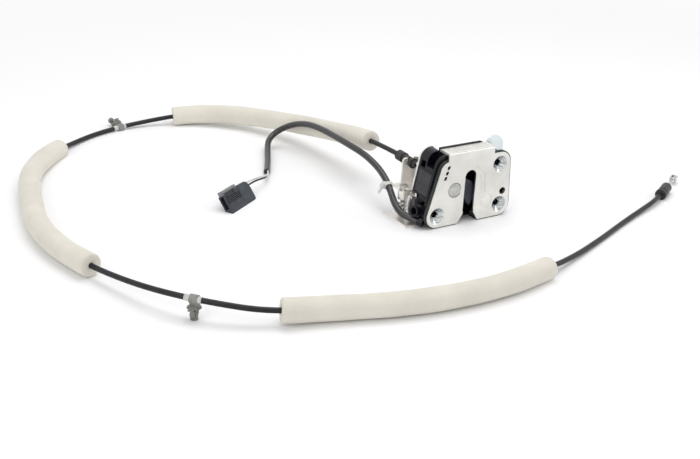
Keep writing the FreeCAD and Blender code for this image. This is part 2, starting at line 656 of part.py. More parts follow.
def claw_parts():
    reach = v.pawl_reach + v.pawl_gap
    y, depth = claw_front, v.claw_t
    whole = claw_blank(0, y, depth)
    whole = whole.cut([claw_notch(v.notch_half, y - 1, depth + 2),
                       pawl_path(reach, y - 1, depth + 2)])
    core_y = y + (v.claw_t - v.claw_core_t) / 2
    core = claw_blank(v.claw_skin, core_y, v.claw_core_t)
    bare = polygon([(-34, -5), (-12, -5), (-12, v.low_seat_h - 1), (-34, v.low_seat_h + 2)],
                   core_y, v.claw_core_t)
    tooth = claw_blank(0, core_y, v.claw_core_t).common(bare)
    core = core.fuse(tooth).cut([claw_notch(v.notch_half + v.claw_skin, y - 1, depth + 2),
                                 pawl_path(reach, y - 1, depth + 2)])
    hub = rod(-v.claw_x, v.claw_h, v.claw_pin_r + 3.0, y, v.claw_t)
    core = core.fuse(hub)
    bore = rod(-v.claw_x, v.claw_h, v.claw_pin_r + v.running_gap, y - 1, depth + 2)
    core = core.cut(bore).removeSplitter()
    skin = whole.cut([core, bore]).removeSplitter()
    biggest = max(skin.Solids, key=lambda solid: solid.Volume)
    return core, biggest


claw_core, claw_skin = claw_parts()
keep("claw", claw_core)
keep("claw_skin", claw_skin)

claw_shank = cylinder("claw_shank", "params.claw_pin_r",
                      "params.case_back + params.back_plate_t - params.claw_head_t",
                      "-params.claw_x", "params.claw_head_t", "params.claw_h", "y")
claw_head = cylinder("claw_head", "params.claw_head_r", "params.claw_head_t - 0.1",
                     "-params.claw_x", "0.1", "params.claw_h", "y")
claw_tail = cylinder("claw_tail", "params.claw_pin_r + 1.6", "1.6", "-params.claw_x",
                     "params.case_back + params.back_plate_t", "params.claw_h", "y")
joined("claw_rivet", [claw_shank, claw_head, claw_tail])


# Pawl: steel arm with a rounded head, a stud for the link rod and a riveted pin

def pawl():
    y = claw_front
    rest = v.pawl_engage
    head = 128.0 - rest
    hub = rod(v.pawl_x, v.pawl_h, v.pawl_hub_r, y, v.pawl_t)
    inner = polar(pawl_centre, v.pawl_reach, head)
    crown = polar(pawl_centre, v.pawl_reach, head - 14.0)
    outer = polar(pawl_centre, v.pawl_reach, head - 30.0)
    right = polar(pawl_centre, v.pawl_hub_r, head - 88.0)
    left = polar(pawl_centre, v.pawl_hub_r, head + 62.0)
    edges = [Part.Arc(inner, crown, outer).toShape(),
             Part.LineSegment(outer, right).toShape(),
             Part.LineSegment(right, left).toShape(),
             Part.LineSegment(left, inner).toShape()]
    arm = Part.Face(Part.Wire(edges)).extrude(Vec(0, v.pawl_t, 0))
    arm.translate(Vec(0, y, 0))
    place = polar(pawl_centre, v.stud_reach, v.stud_turn)
    stud = rod(place.x, place.z, v.stud_r, y + v.pawl_t - 1, v.link_y + v.link_r - y - v.pawl_t + 1)
    foot = rod(place.x, place.z, v.stud_r + 0.8, y, v.pawl_t)
    shape = hub.fuse([arm, foot, stud]).removeSplitter()
    bore = rod(v.pawl_x, v.pawl_h, v.pawl_pin_r + v.running_gap, y - 1, v.pawl_t + 2)
    return shape.cut(bore)


keep("pawl", pawl())

pawl_shank = cylinder("pawl_shank", "params.pawl_pin_r",
                      "params.case_back + params.back_plate_t - params.plate_t",
                      "params.pawl_x", "params.plate_t", "params.pawl_h", "y")
pawl_tail = cylinder("pawl_tail", "params.pawl_pin_r + 1.2", "1.4", "params.pawl_x",
                     "params.case_back + params.back_plate_t", "params.pawl_h", "y")
joined("pawl_rivet", [pawl_shank, pawl_tail])


# Torsion springs

def torsion_spring(centre, axis, coil_r, wire_r, pitch, turns, legs):
    """A coil along axis from centre, with a straight leg of the given length at each end."""
    helix = Part.makeHelix(pitch, pitch * turns, coil_r).Edges[0]
    start = helix.valueAt(helix.FirstParameter)
    start_way = helix.tangentAt(helix.FirstParameter)
    end = helix.valueAt(helix.LastParameter)
    end_way = helix.tangentAt(helix.LastParameter)
    first = Part.LineSegment(start - start_way * legs[0], start).toShape()
    last = Part.LineSegment(end, end + end_way * legs[1]).toShape()
    path = Part.Wire([first, helix, last])
    profile = Part.Wire(Part.Circle(start - start_way * legs[0], start_way, wire_r).toShape())
    shape = path.makePipeShell([profile], True, False)
    shape.Placement = FreeCAD.Placement(centre, FreeCAD.Rotation(Z_AXIS, axis))
    return shape


claw_spring_y = claw_front + v.claw_t + v.claw_wire_r + 0.2
keep("claw_spring", torsion_spring(
    at(-v.claw_x, v.claw_h, claw_spring_y), Y_AXIS, v.claw_pin_r + v.spring_clear + v.claw_wire_r,
    v.claw_wire_r, 2.1 * v.claw_wire_r, 1.1, (5.0, 5.0)))

pawl_spring_y = claw_front + v.pawl_t + v.pawl_wire_r + 0.3
keep("pawl_spring", torsion_spring(
    at(v.pawl_x, v.pawl_h, pawl_spring_y), Y_AXIS, v.pawl_pin_r + 0.4 + v.pawl_wire_r,
    v.pawl_wire_r, 2.1 * v.pawl_wire_r, 1.5, (4.0, 3.0)))


# Cable bracket: zinc steel sheet behind the case, with a shelf, an upright tab and a foot

BRACKET_Y = v.deep_back
FINGER_X = -v.link_left + v.finger_w
FINGER_T = 4.0
FINGER_H = v.link_h - FINGER_T - 2.2


def cable_bracket():
    thick = v.bracket_t
    wall_left = -v.left_seat_x - v.ear_r + 3.0
    wall = deep_block(v.wall_grow, BRACKET_Y, thick)
    shelf = box(-v.shelf_left, BRACKET_Y, v.shelf_h, v.shelf_left - v.bracket_right,
                v.tab_y - BRACKET_Y + thick / 2, thick)
    notch = upright(-v.shelf_left + 3.0, BRACKET_Y + 4.0, 5.0, v.shelf_h - 1, thick + 2)
    tab = box(-v.cable_x - v.tab_half, v.tab_y - thick / 2, v.shelf_h, 2 * v.tab_half, thick,
              v.cable_h + v.tab_rise - v.shelf_h)
    corners = [edge for edge in tab.Edges
               if edge.CenterOfMass.z > v.cable_h and abs(edge.tangentAt(0).y) > 0.9]
    tab = tab.makeFillet(3.5, corners)
    foot = box(-v.foot_left, v.foot_front, floor_h, v.foot_left - v.left_seat_x - v.ear_r - 3.0,
               v.lever_y + 8.0 - v.foot_front, thick)
    heel = box(-v.foot_left, BRACKET_Y, floor_h, v.foot_left - v.bracket_right,
               v.lever_y + 8.0 - BRACKET_Y, thick)
    rise = box(wall_left, BRACKET_Y, floor_h, -v.bracket_right - wall_left, thick,
               3.2 - floor_h)
    sheet_metal = wall.fuse([shelf, tab, foot, heel, rise])
    neck = v.ferrule_neck_r + 0.1
    saddle = rod(-v.cable_x, v.cable_h, neck, v.tab_y - thick, 2 * thick)
    way_in = box(-v.cable_x - neck, v.tab_y - thick, v.cable_h, 2 * neck, 2 * thick,
                 v.tab_rise + 1)
    pin_low = upright(-v.lever_x, v.lever_y, v.lever_pin_r, floor_h - 1, v.shelf_h + thick + 4)
    post_way = box(-v.post_left - 1.8, BRACKET_Y + thick + 0.6, v.shelf_h - 1,
                   v.post_w + 2.6, v.post_front + v.post_t - BRACKET_Y - thick + 0.6, thick + 2)
    nipple_way = rod(-v.cable_x, v.cable_h, v.nipple_r + 1.2, BRACKET_Y - 1, thick + 2)
    finger_way = box(FINGER_X - v.finger_w / 2 - 2.6, BRACKET_Y - 1, FINGER_H - 1.0,
                     v.finger_w + 3.6, thick + 2, FINGER_T + 2.0)
    cuts = [saddle, way_in, pin_low, post_way, notch, nipple_way, finger_way]
    for x, h in rivet_places():
        cuts.append(rod(x, h, v.rivet_r, BRACKET_Y - 1, thick + 2))
    return sheet_metal.cut(cuts).removeSplitter()


keep("cable_bracket", cable_bracket())


def bracket_rivets():
    made = []
    for x, h in rivet_places():
        head = rod(x, h, 3.6, BRACKET_Y + v.bracket_t, 1.4)
        made.append(rod(x, h, v.rivet_r, BRACKET_Y - 6.0, v.bracket_t + 6.0).fuse(head))
    return Part.makeCompound(made)


keep("bracket_rivets", bracket_rivets())

pin_shank = cylinder("pin_shank", "params.lever_pin_r",
                     "params.floor_gap + params.shelf_h + params.bracket_t",
                     "-params.lever_x", "params.lever_y", "-params.floor_gap")
pin_head = cylinder("pin_head", "params.lever_pin_r + 1.8", "1.6", "-params.lever_x",
                    "params.lever_y", "params.shelf_h + params.bracket_t")
joined("lever_pin", [pin_shank, pin_head])


# Release lever: bell-crank on the upright pin, pulled by the cable and pushing the link rod

def release_lever():
    low, thick = v.lever_hub_low, v.lever_hub_t
    hub = upright(-v.lever_x, v.lever_y, v.lever_hub_r, low, thick)
    arm_h = low + thick - FINGER_T
    arm = box(-v.lever_x, v.post_front, arm_h, v.lever_x - v.post_left + v.post_w,
              v.lever_y - v.post_front + 0.6, FINGER_T)
    post = box(-v.post_left, v.post_front, arm_h, v.post_w, v.post_t,
               v.cable_h + 3.0 - arm_h)
    slit_half = v.wire_r + 0.55
    slit = box(-v.post_left - 1, v.post_front - 1, v.cable_h - slit_half,
               v.post_left - v.cable_x + slit_half + 2.0, v.post_t + 2, 2 * slit_half)
    front = v.link_y + v.blade_deep / 2
    finger = box(FINGER_X - v.finger_w / 2, front, FINGER_H, v.finger_w,
                 v.post_front + 1.0 - front, FINGER_T)
    elbow = box(FINGER_X - v.finger_w / 2, v.post_front, min(FINGER_H, arm_h), v.finger_w,
                v.lever_y - v.post_front, abs(arm_h - FINGER_H) + FINGER_T)
    shape = hub.fuse([arm, post, finger, elbow]).cut(slit)
    bore = upright(-v.lever_x, v.lever_y, v.lever_pin_r + v.running_gap, low - 1, thick + 2)
    return shape.cut(bore).removeSplitter()


keep("release_lever", release_lever())


def lever_blade():
    """The dark moulded end of the lever: an eye for the link rod over a curved blade."""
    deep = v.blade_deep
    y = v.link_y - deep / 2
    left = -v.link_left - 3.2
    right = -v.link_left + 3.2
    top = FINGER_H + FINGER_T
    tip = v.blade_low
    middle = (top + tip) / 2
    edges = [Part.LineSegment(at(left, top, y), at(left, FINGER_H, y)).toShape(),
             Part.Arc(at(left, FINGER_H, y), at(left + 1.6, middle, y),
                      at(right - 1.4, tip, y)).toShape(),
             Part.LineSegment(at(right - 1.4, tip, y), at(right + 1.0, tip - 0.4, y)).toShape(),
             Part.LineSegment(at(right + 1.0, tip - 0.4, y), at(right, top, y)).toShape(),
             Part.LineSegment(at(right, top, y), at(left, top, y)).toShape()]
    blade = Part.Face(Part.Wire(edges)).extrude(Vec(0, deep, 0))
    eye_low = v.link_h - 8.0
    eye = upright(-v.link_left, v.link_y, v.link_r + 0.4, eye_low, 9.0)
    slid = eye.translated(Vec(0, -0.4, 0))
    run = box(-v.link_left - v.link_r - 0.4, v.link_y - 0.4, eye_low, 2 * v.link_r + 0.8, 1.0, 9.0)
    back = eye.translated(Vec(0, 0.6, 0))
    return blade.cut([eye, slid, run, back]).removeSplitter()


keep("lever_blade", lever_blade())

spring_low = floor_h + v.bracket_t + v.lever_wire_r + 1.0
keep("lever_spring", torsion_spring(
    at(-v.lever_x, spring_low, v.lever_y), Z_AXIS, v.lever_pin_r + 0.5 + v.lever_wire_r,
    v.lever_wire_r, v.lever_spring_pitch, v.lever_spring_turns, (5.0, 4.0)))


# Link rod: bent wire from the lever's finger to the pawl's stud

def link_rod():
    stud = polar(pawl_centre, v.stud_reach, v.stud_turn)
    end_x = stud.x - v.stud_r - 0.35
    start_x = -v.link_left
    bar = Part.makeCylinder(v.link_r, end_x - start_x, Vec(start_x, v.link_y, v.link_h), X_AXIS)
    hook = upright(start_x, v.link_y, v.link_r, v.link_h - 7.4, 7.4)
    knee = Part.makeSphere(v.link_r, Vec(start_x, v.link_y, v.link_h))
    return bar.fuse([hook, knee]).removeSplitter()


keep("link_rod", link_rod())


# Microswitch with its sprung plunger

switch_block = block("switch_block", "-params.switch_x", "params.plate_t + params.seal_t + 1.2",
                     "params.switch_low", "params.switch_w", "params.switch_t", "params.switch_len")
plunger_way = cylinder("plunger_way", "params.plunger_r + 0.15", "params.switch_w",
                       "-params.switch_x + params.switch_w / 2",
                       "params.plate_t + params.seal_t + 1.2 + params.switch_t / 2",
                       "params.switch_low + params.switch_len / 2", "x")
less("switch_body", switch_block, plunger_way)
plunger = cylinder("switch_plunger", "params.plunger_r", "params.switch_w / 2 + params.plunger_out - 1.2",
                   "-params.switch_x + params.switch_w / 2 + 1.2",
                   "params.plate_t + params.seal_t + 1.2 + params.switch_t / 2",
                   "params.switch_low + params.switch_len / 2 - params.seat_height", "x")
plunger.Label = "switch_plunger"
nodes.append(plunger)


# Routes of the cords: points chosen by hand, joined by straight runs and tangent arcs

CABLE_ROUTE = [
    (-37.7, 72.2, 50.8), (-37.3, 98.0, 49.5), (-34.2, 136.0, 44.4), (-35.4, 182.0, 35.6),
    (-41.0, 236.0, 26.0), (-58.0, 290.0, 17.0), (-92.0, 336.0, 12.0), (-138.0, 368.0, 9.6),
    (-190.0, 385.0, 3.4), (-240.0, 377.0, 1.3), (-284.0, 350.0, 2.4), (-322.0, 309.0, 7.4),
    (-352.0, 257.0, 9.8), (-376.0, 201.0, 9.8), (-388.0, 145.0, 9.8), (-387.0, 92.0, 9.8),
    (-375.0, 46.0, 9.6), (-358.0, 3.0, 12.0), (-338.0, -38.0, 17.0), (-310.0, -74.0, 17.6),
    (-270.0, -100.0, 12.4), (-222.0, -119.0, 9.8), (-172.0, -134.0, 9.8), (-118.0, -142.0, 9.8),
    (-64.0, -143.0, 9.8), (-12.0, -133.0, 8.4), (40.0, -117.0, 2.8), (94.0, -95.5, 1.3),
    (146.0, -72.0, 1.3), (186.0, -57.0, 2.6), (204.0, -49.2, 4.2), (222.0, -38.4, 4.3),
]
TUBE_ROUTE = [
    (-51.8, 10.8, 5.6), (-59.6, 23.2, 6.9), (-60.6, 38.0, 13.2),
    (-57.2, 52.0, 21.0), (-53.4, 68.0, 29.0), (-51.6, 88.0, 35.8),
    (-52.6, 112.0, 43.4), (-54.6, 142.0, 46.6), (-54.4, 174.0, 45.2),
    (-55.4, 202.0, 40.6), (-57.4, 227.0, 34.0), (-62.5, 248.4, 25.6),
    (-75.8, 261.0, 16.6), (-94.0, 258.4, 8.8), (-106.8, 240.8, 4.2),
    (-114.0, 215.4, 2.4), (-122.9, 190.8, 2.3),
]
WIRE_ROUTES = {
    "wire_white": [(-122.1, 190.2, 3.4), (-126.6, 179.4, 5.0), (-134.6, 169.4, 8.0),
                   (-144.6, 162.2, 10.8), (-156.4, 155.0, 13.0), (-168.4, 147.6, 13.9)],
    "wire_black": [(-124.1, 190.9, 1.4), (-129.0, 180.0, 1.6), (-137.4, 168.8, 3.8),
                   (-146.8, 160.2, 7.2), (-157.0, 152.4, 10.0), (-167.2, 146.2, 11.4)],
}


def route_pieces(points):
    """The straight runs and tangent arcs of a route, as edges with the arcs' radii."""
    places = [Vec(*point) for point in points]
    edges = []
    radii = []
    start = places[0]
    for before, here, after in zip(places[:-2], places[1:-1], places[2:]):
        way_in = here - before
        way_out = after - here
        shorter = min(way_in.Length, way_out.Length)
        way_in.normalize()
        way_out.normalize()
        half_turn = way_in.getAngle(way_out) / 2
        radius = 0.45 * shorter / math.tan(half_turn)
        radii.append(radius)
        arc_start = here - way_in * (0.45 * shorter)
        arc_end = here + way_out * (0.45 * shorter)
        centre_way = way_out - way_in
        centre_way.normalize()
        centre = here + centre_way * (radius / math.cos(half_turn))
        middle = centre - centre_way * radius
        edges.append(Part.LineSegment(start, arc_start).toShape())
        edges.append(Part.Arc(arc_start, middle, arc_end).toShape())
        start = arc_end
    edges.append(Part.LineSegment(start, places[-1]).toShape())
    return edges, radii


def tube_along(edges, radius, bore=0.0):
    """A round tube swept along edges, solid or with a bore."""
    path = Part.Wire(edges)
    first = edges[0]
    start = first.valueAt(first.FirstParameter)
    way = first.tangentAt(first.FirstParameter)
    outer = Part.Wire(Part.Circle(start, way, radius).toShape())
    solid = path.makePipeShell([outer], True, False)
    if bore:
        inner = Part.Wire(Part.Circle(start, way, bore).toShape())
        solid = solid.cut(path.makePipeShell([inner], True, False))
    return solid


def cord(label, points, diameter):
    edges, radii = route_pieces(points)
    solid = tube_along(edges, diameter / 2)
    length = sum(edge.Length for edge in edges)
    section = math.pi * diameter * diameter / 4
    print("%s: length %.1f, smallest radius %.1f, volume over section times length %.4f"
          % (label, length, min(radii), solid.Volume / (section * length)))
    keep(label, solid)
    return edges


cable_edges = cord("cable_conduit", CABLE_ROUTE, v.cable_d)
tube_edges = cord("harness_tube", TUBE_ROUTE, v.tube_d)


def stretch(edges, start, end):
    """The part of a route between two lengths along it, as new edges."""
    kept = []
    run = 0.0
    for edge in edges:
        low, high = run, run + edge.Length
        run = high
        if high <= start or low >= end:
            continue
        span = edge.LastParameter - edge.FirstParameter
        first = edge.FirstParameter + span * max(start - low, 0.0) / edge.Length
        last = edge.FirstParameter + span * (min(end, high) - low) / edge.Length
        if last - first > 1e-9:
            kept.append(edge.Curve.toShape(first, last))
    return kept


def length_to(edges, index):
    """The length along a route to its point of that number, taken at the middle of its arc."""
    if index == 0:
        return 0.0
    return sum(edge.Length for edge in edges[:2 * index - 1]) + edges[2 * index - 1].Length / 2


def sleeve(label, start, end, radius, bore):
    keep(label, tube_along(stretch(cable_edges, start, end), radius, bore))


FOAM_STRETCHES = {
    "foam_back": (length_to(cable_edges, 1) + 30.0, length_to(cable_edges, 7) + 6.0),
    "foam_left": (length_to(cable_edges, 10) + 26.0, length_to(cable_edges, 16) - 6.0),
    "foam_front": (length_to(cable_edges, 20) + 14.0, length_to(cable_edges, 25) + 8.0),
}
for foam_label, (foam_start, foam_end) in FOAM_STRETCHES.items():
    sleeve(foam_label, foam_start, foam_end, v.foam_r, v.cable_d / 2)

TAPE_MIDDLES = {
    "tape_back": length_to(cable_edges, 8) + 24.0,
    "tape_front": length_to(cable_edges, 18) + 32.0,
}
for tape_label, middle in TAPE_MIDDLES.items():
    sleeve(tape_label, middle - v.tape_len / 2, middle + v.tape_len / 2,
           v.cable_d / 2 + v.tape_t, v.cable_d / 2)


# Clips on the cable: a band round the tape, a dish with wings and an arrow stem

def clip_shape():
    """One clip with its band round the local Z axis and its stem along the local -X axis."""
    inner = v.cable_d / 2 + v.tape_t + 0.12
    outer = inner + v.clip_band_t
    band = Part.makeCylinder(outer, v.clip_band_w, Vec(0, 0, -v.clip_band_w / 2))
    neck_len = 2.4
    neck = Part.makeBox(neck_len + 1, 3.6, v.clip_band_w, Vec(-outer - neck_len, -1.8, -v.clip_band_w / 2))
    dish_x = -outer - neck_len
    dish = Part.makeCone(v.clip_dish_r, 3.0, 2.2, Vec(dish_x - 1.2, 0, 0), X_AXIS)
    wing = Part.makeBox(1.0, 2 * v.clip_wing, 4.4, Vec(dish_x - 1.6, -v.clip_wing, -2.2))
    stem_len = v.clip_stem_len
    stem = Part.makeBox(stem_len, 2.2, 4.6, Vec(dish_x - stem_len, -1.1, -2.3))
    tip = Part.makeCylinder(v.clip_stem_r, 4.2, Vec(dish_x - stem_len - 1.2, 0, 0), X_AXIS)
    barbs = []
    for side in (-1, 1):
        corners = [Vec(dish_x - stem_len + 1, side * 1.0, -2.2), Vec(dish_x - 7.0, side * 4.4, -2.2),
                   Vec(dish_x - 3.4, side * 3.6, -2.2), Vec(dish_x - 3.6, side * 2.7, -2.2),
                   Vec(dish_x - 6.8, side * 3.4, -2.2), Vec(dish_x - stem_len + 3, side * 1.0, -2.2)]
        outline = Part.makePolygon(corners + [corners[0]])
        barbs.append(Part.Face(outline).extrude(Vec(0, 0, 4.4)))
    bore = Part.makeCylinder(inner, v.clip_band_w + 2, Vec(0, 0, -v.clip_band_w / 2 - 1))
    return band.fuse([neck, dish, wing, stem, tip] + barbs).cut(bore).removeSplitter()


def clip(label, middle, stem_way):
    """A clip seated on the cable at a length along it, its stem pointing near stem_way."""
    piece = stretch(cable_edges, middle - 0.5, middle + 0.5)[0]
    place = piece.valueAt((piece.FirstParameter + piece.LastParameter) / 2)
    along = piece.tangentAt((piece.FirstParameter + piece.LastParameter) / 2)
    outward = stem_way - along * stem_way.dot(along)
    outward.normalize()
    turn = FreeCAD.Rotation(-outward, along.cross(-outward), along, "XZY")
    item = keep(label, clip_shape())
    lowered = place - Vec(0, 0, v.seat_height)
    item.Placement = FreeCAD.Placement(lowered, turn)


clip("clip_back", TAPE_MIDDLES["tape_back"], Vec(0.12, 0.99, 0.10))
clip("clip_front", TAPE_MIDDLES["tape_front"], Vec(0, 0, -1))


# Ferrules and the inner wire's ends

TAB_FRONT = (v.tab_y - v.bracket_t / 2 - v.ferrule_front,
             "params.tab_y - params.bracket_t / 2 - params.ferrule_front")
TAB_REAR = (v.tab_y + v.bracket_t / 2 - v.ferrule_front,
            "params.tab_y + params.bracket_t / 2 - params.ferrule_front")
DISC_END = term("nose_len", "disc_t")
COLLAR_START = (v.ferrule_len - v.rear_collar_len - 1.5,
                "params.ferrule_len - params.rear_collar_len - 1.5")
near_ferrule = turned_body("near_ferrule", [
    (term("wire_bore_r"), ZERO), ((v.nose_r - 0.6, "params.nose_r - 0.6"), ZERO),
    (term("nose_r"), (0.8, "0.8")), (term("nose_r"), term("nose_len")),
    (term("disc_r"), term("nose_len")), (term("disc_r"), DISC_END), (term("ferrule_r"), DISC_END),
    (term("ferrule_r"), TAB_FRONT), (term("ferrule_neck_r"), TAB_FRONT),
    (term("ferrule_neck_r"), TAB_REAR), (term("ferrule_r"), TAB_REAR),
    (term("ferrule_r"), COLLAR_START), (term("rear_collar_r"), COLLAR_START),
    (term("rear_collar_r"), (v.ferrule_len - 1.5, "params.ferrule_len - 1.5")),
    (term("ferrule_neck_r"), term("ferrule_len")), (term("wire_bore_r"), term("ferrule_len")),
])
near_ferrule.Placement = FreeCAD.Placement(
    Vec(-v.cable_x, v.ferrule_front, v.cable_h - v.seat_height), FreeCAD.Rotation(X_AXIS, -90))

far_start = Vec(*CABLE_ROUTE[-1])
far_way = Vec(math.cos(math.radians(v.far_turn)), math.sin(math.radians(v.far_turn)), 0)
far_ferrule = turned_body("far_ferrule", [
    (term("wire_bore_r"), ZERO), (term("far_collar_r"), ZERO), (term("far_collar_r"), (4.0, "4")),
    (term("ferrule_neck_r"), (4.0, "4")), (term("ferrule_neck_r"), (7.0, "7")),
    (term("far_r"), (7.0, "7")), (term("far_r"), (v.far_len - 1.5, "params.far_len - 1.5")),
    ((v.far_r - 1.5, "params.far_r - 1.5"), term("far_len")),
    (term("wire_bore_r"), term("far_len")),
])
far_ferrule.Placement = FreeCAD.Placement(
    far_start + far_way * 0.1 - Vec(0, 0, v.seat_height), FreeCAD.Rotation(Z_AXIS, far_way))


def near_wire():
    """The inner wire's near end, with its crimped nipple in front of the lever's post."""
    nipple_y = v.post_front - v.nipple_len - v.fold_gap - 0.1
    wire = rod(-v.cable_x, v.cable_h, v.wire_r, nipple_y, v.ferrule_front + 12.0 - nipple_y)
    return wire.fuse(rod(-v.cable_x, v.cable_h, v.nipple_r, nipple_y, v.nipple_len))


keep("near_wire", near_wire())


def far_wire():
    start = far_start + far_way * (v.far_len - 12.0)
    return Part.makeCylinder(v.wire_r, 12.0 + v.bare_wire, start, far_way)


keep("far_wire", far_wire())


def end_fitting():
    """A small bent loop crimped on the wire's end, open towards the ferrule."""
    start = v.far_len + v.bare_wire - 1.0
    half = v.loop_w / 2
    depth = 5.0
    outer = Part.makeBox(v.loop_len, v.loop_w, depth, Vec(start - 3.0, -half, -depth / 2))
    inner = Part.makeBox(v.loop_len - v.loop_t + 1, v.loop_w - 2 * v.loop_t, depth + 2,
                         Vec(start - 4.0, -half + v.loop_t, -depth / 2 - 1))
    loop = outer.cut(inner)
    ball = Part.makeCylinder(1.5, v.loop_len - v.loop_t - 4.0, Vec(start + 1.0, 0, 0), X_AXIS)
    bar = Part.makeBox(1.6, v.loop_w, 3.0, Vec(start + 1.0, -half, -1.5))
    hole = Part.makeCylinder(v.wire_r, 20, Vec(start - 19.0, 0, 0), X_AXIS)
    shape = loop.fuse([ball, bar]).cut(hole).removeSplitter()
    shape.Placement = FreeCAD.Placement(far_start, FreeCAD.Rotation(X_AXIS, far_way))
    return shape


keep("end_fitting", end_fitting())


# Lead of the switch: boot, tie, two wires and the plug

def harness_gland():
    """The moulded gland at the case's lower left corner, where the tube comes out."""
    start = Vec(*TUBE_ROUTE[0])
    way = Vec(*TUBE_ROUTE[1]) - start
    way.normalize()
    root = start - way * (v.gland_len + 0.05)
    shape = Part.makeCylinder(v.gland_r, v.gland_len, root, way)
    outside = shape.cut([deep_block(v.fold_gap, 0, v.deep_back + 5),
                         hull(EARS, v.rim + v.fold_gap, 0, case_front)])
    return max(outside.Solids, key=lambda solid: solid.Volume)


keep("harness_gland", harness_gland())


def harness_boot():
    """The soft boot over the lead's way into the case, widest at its free end."""
    free_end = at(-v.left_seat_x - v.ear_r - 7.2, 16.0, 12.6)
    inner_end = at(-v.left_seat_x - v.ear_r + 3.6, 14.2, 14.6)
    way = inner_end - free_end
    way.normalize()
    cone = Part.makeCone(v.boot_wide_r, v.boot_thin_r, v.boot_len, free_end, way)
    lip = Part.makeCylinder(v.boot_wide_r + 0.5, 1.2, free_end, way)
    hollow = Part.makeCone(v.boot_wide_r - 1.2, v.boot_thin_r - 1.2, v.boot_len - 2.0,
                           free_end - way * 0.01, way)
    outside = cone.fuse(lip).cut([hollow, deep_block(v.fold_gap, 0, v.deep_back + 5)])
    return max(outside.Solids, key=lambda solid: solid.Volume)


keep("harness_boot", harness_boot())


def cable_tie():
    """A tie with its locking head, drawn round the tube beside the bracket."""
    edge = tube_edges[6]
    middle = (edge.FirstParameter + edge.LastParameter) / 2
    place = edge.valueAt(middle)
    along = edge.tangentAt(middle)
    band = Part.makeCylinder(v.tube_d / 2 + 1.3, 3.4, Vec(0, 0, -1.7))
    head = Part.makeBox(4.6, 6.0, 4.6, Vec(-v.tube_d / 2 - 4.8, -3.0, -2.3))
    tail = Part.makeBox(1.2, 9.0, 3.0, Vec(-v.tube_d / 2 - 3.4, 2.0, -1.5))
    bore = Part.makeCylinder(v.tube_d / 2 + v.running_gap, 8.0, Vec(0, 0, -4.0))
    shape = band.fuse([head, tail]).cut(bore).removeSplitter()
    item = keep("cable_tie", shape)
    item.Placement = FreeCAD.Placement(place - Vec(0, 0, v.seat_height),
                                       FreeCAD.Rotation(Z_AXIS, along))


cable_tie()
for wire_label, wire_route in WIRE_ROUTES.items():
    cord(wire_label, wire_route, v.lead_wire_d)


# Plug: shell with an open mouth, a latch on its upper edge, a rear cap and two blades

PLUG_PLACE = Vec(-v.plug_x, v.plug_y, floor_h)
PLUG_SHARE = 0.62
PIN_SHARES = (0.41, 0.69)


def plug_frame():
    """The plug's own frame: X from mouth to rear, Y up its leaning face, Z out of that face."""
    upright_turn = FreeCAD.Rotation(Z_AXIS, v.plug_turn)
    lean = FreeCAD.Rotation(X_AXIS, v.plug_lean)
    return FreeCAD.Placement(PLUG_PLACE, upright_turn.multiply(lean))


def put_plug(label, shape):
    item = keep(label, shape)
    item.Placement = FreeCAD.Placement(Vec(0, 0, -v.seat_height), FreeCAD.Rotation()).multiply(
        plug_frame())


def plug_block(start, length, wide, grow):
    """A stretch of the plug: flat in front, with the lower back edge cut so that it lies flat."""
    cut = v.plug_t / math.tan(math.radians(v.plug_lean))
    corners = [Vec(start, 0, 0), Vec(start, wide, 0), Vec(start, wide, -v.plug_t - grow),
               Vec(start, cut, -v.plug_t - grow), Vec(start, cut, -v.plug_t)]
    if grow == 0:
        corners.pop()
    return Part.Face(Part.makePolygon(corners + [corners[0]])).extrude(Vec(length, 0, 0))


def plug_shell():
    length = v.plug_len * PLUG_SHARE
    outer = plug_block(0, length, v.plug_w, 0)
    room = v.plug_t - 2 * v.plug_wall
    low = v.plug_t / math.tan(math.radians(v.plug_lean)) + v.plug_wall
    mouth = Part.makeBox(v.plug_deep + 1, v.plug_w - low - v.plug_wall, room,
                         Vec(-1, low, v.plug_wall - v.plug_t))
    cuts = [mouth]
    for share in PIN_SHARES:
        cuts.append(Part.makeBox(length, v.pin_w, v.pin_t,
                                 Vec(v.plug_deep - 1, v.plug_w * share - v.pin_w / 2,
                                     -(v.plug_t + v.pin_t) / 2)))
    for index in range(9):
        cuts.append(Part.makeBox(1.0, 2.4, 1.0, Vec(4.0 + index * 2.1, v.plug_w - 4.6, -0.4)))
    for lane in (5.6, 10.4):
        cuts.append(Part.makeBox(length - 3.0, 0.6, 1.0, Vec(3.0, lane, -0.3)))
    return outer.cut(cuts)


def plug_cap():
    start = v.plug_len * PLUG_SHARE
    length = v.plug_len - start
    cap = plug_block(start, length, v.plug_w + 1.6, 0)
    edges = [edge for edge in cap.Edges if edge.CenterOfMass.x > v.plug_len - 0.1]
    return cap.makeChamfer(0.8, edges)


def plug_latch():
    """The latch rail along the plug's upper edge, raised on two feet."""
    length = v.plug_len * PLUG_SHARE - 3.0
    deep = v.plug_t - 2.2
    rail = Part.makeBox(length, 1.4, deep, Vec(1.0, v.plug_w + 1.1, -v.plug_t + 0.6))
    feet = [Part.makeBox(3.0, 1.2, deep, Vec(1.0 + at_x, v.plug_w, -v.plug_t + 0.6))
            for at_x in (0.0, length - 3.0)]
    return rail.fuse(feet).removeSplitter()


def plug_blades():
    made = []
    start = 7.0
    for share in PIN_SHARES:
        made.append(Part.makeBox(v.plug_len * PLUG_SHARE - start, v.pin_w, v.pin_t,
                                 Vec(start, v.plug_w * share - v.pin_w / 2,
                                     -(v.plug_t + v.pin_t) / 2)))
    return Part.makeCompound(made)


put_plug("plug_shell", plug_shell())
put_plug("plug_cap", plug_cap())
put_plug("plug_latch", plug_latch())
put_plug("plug_blades", plug_blades())


# Check every object and write the sub-parts

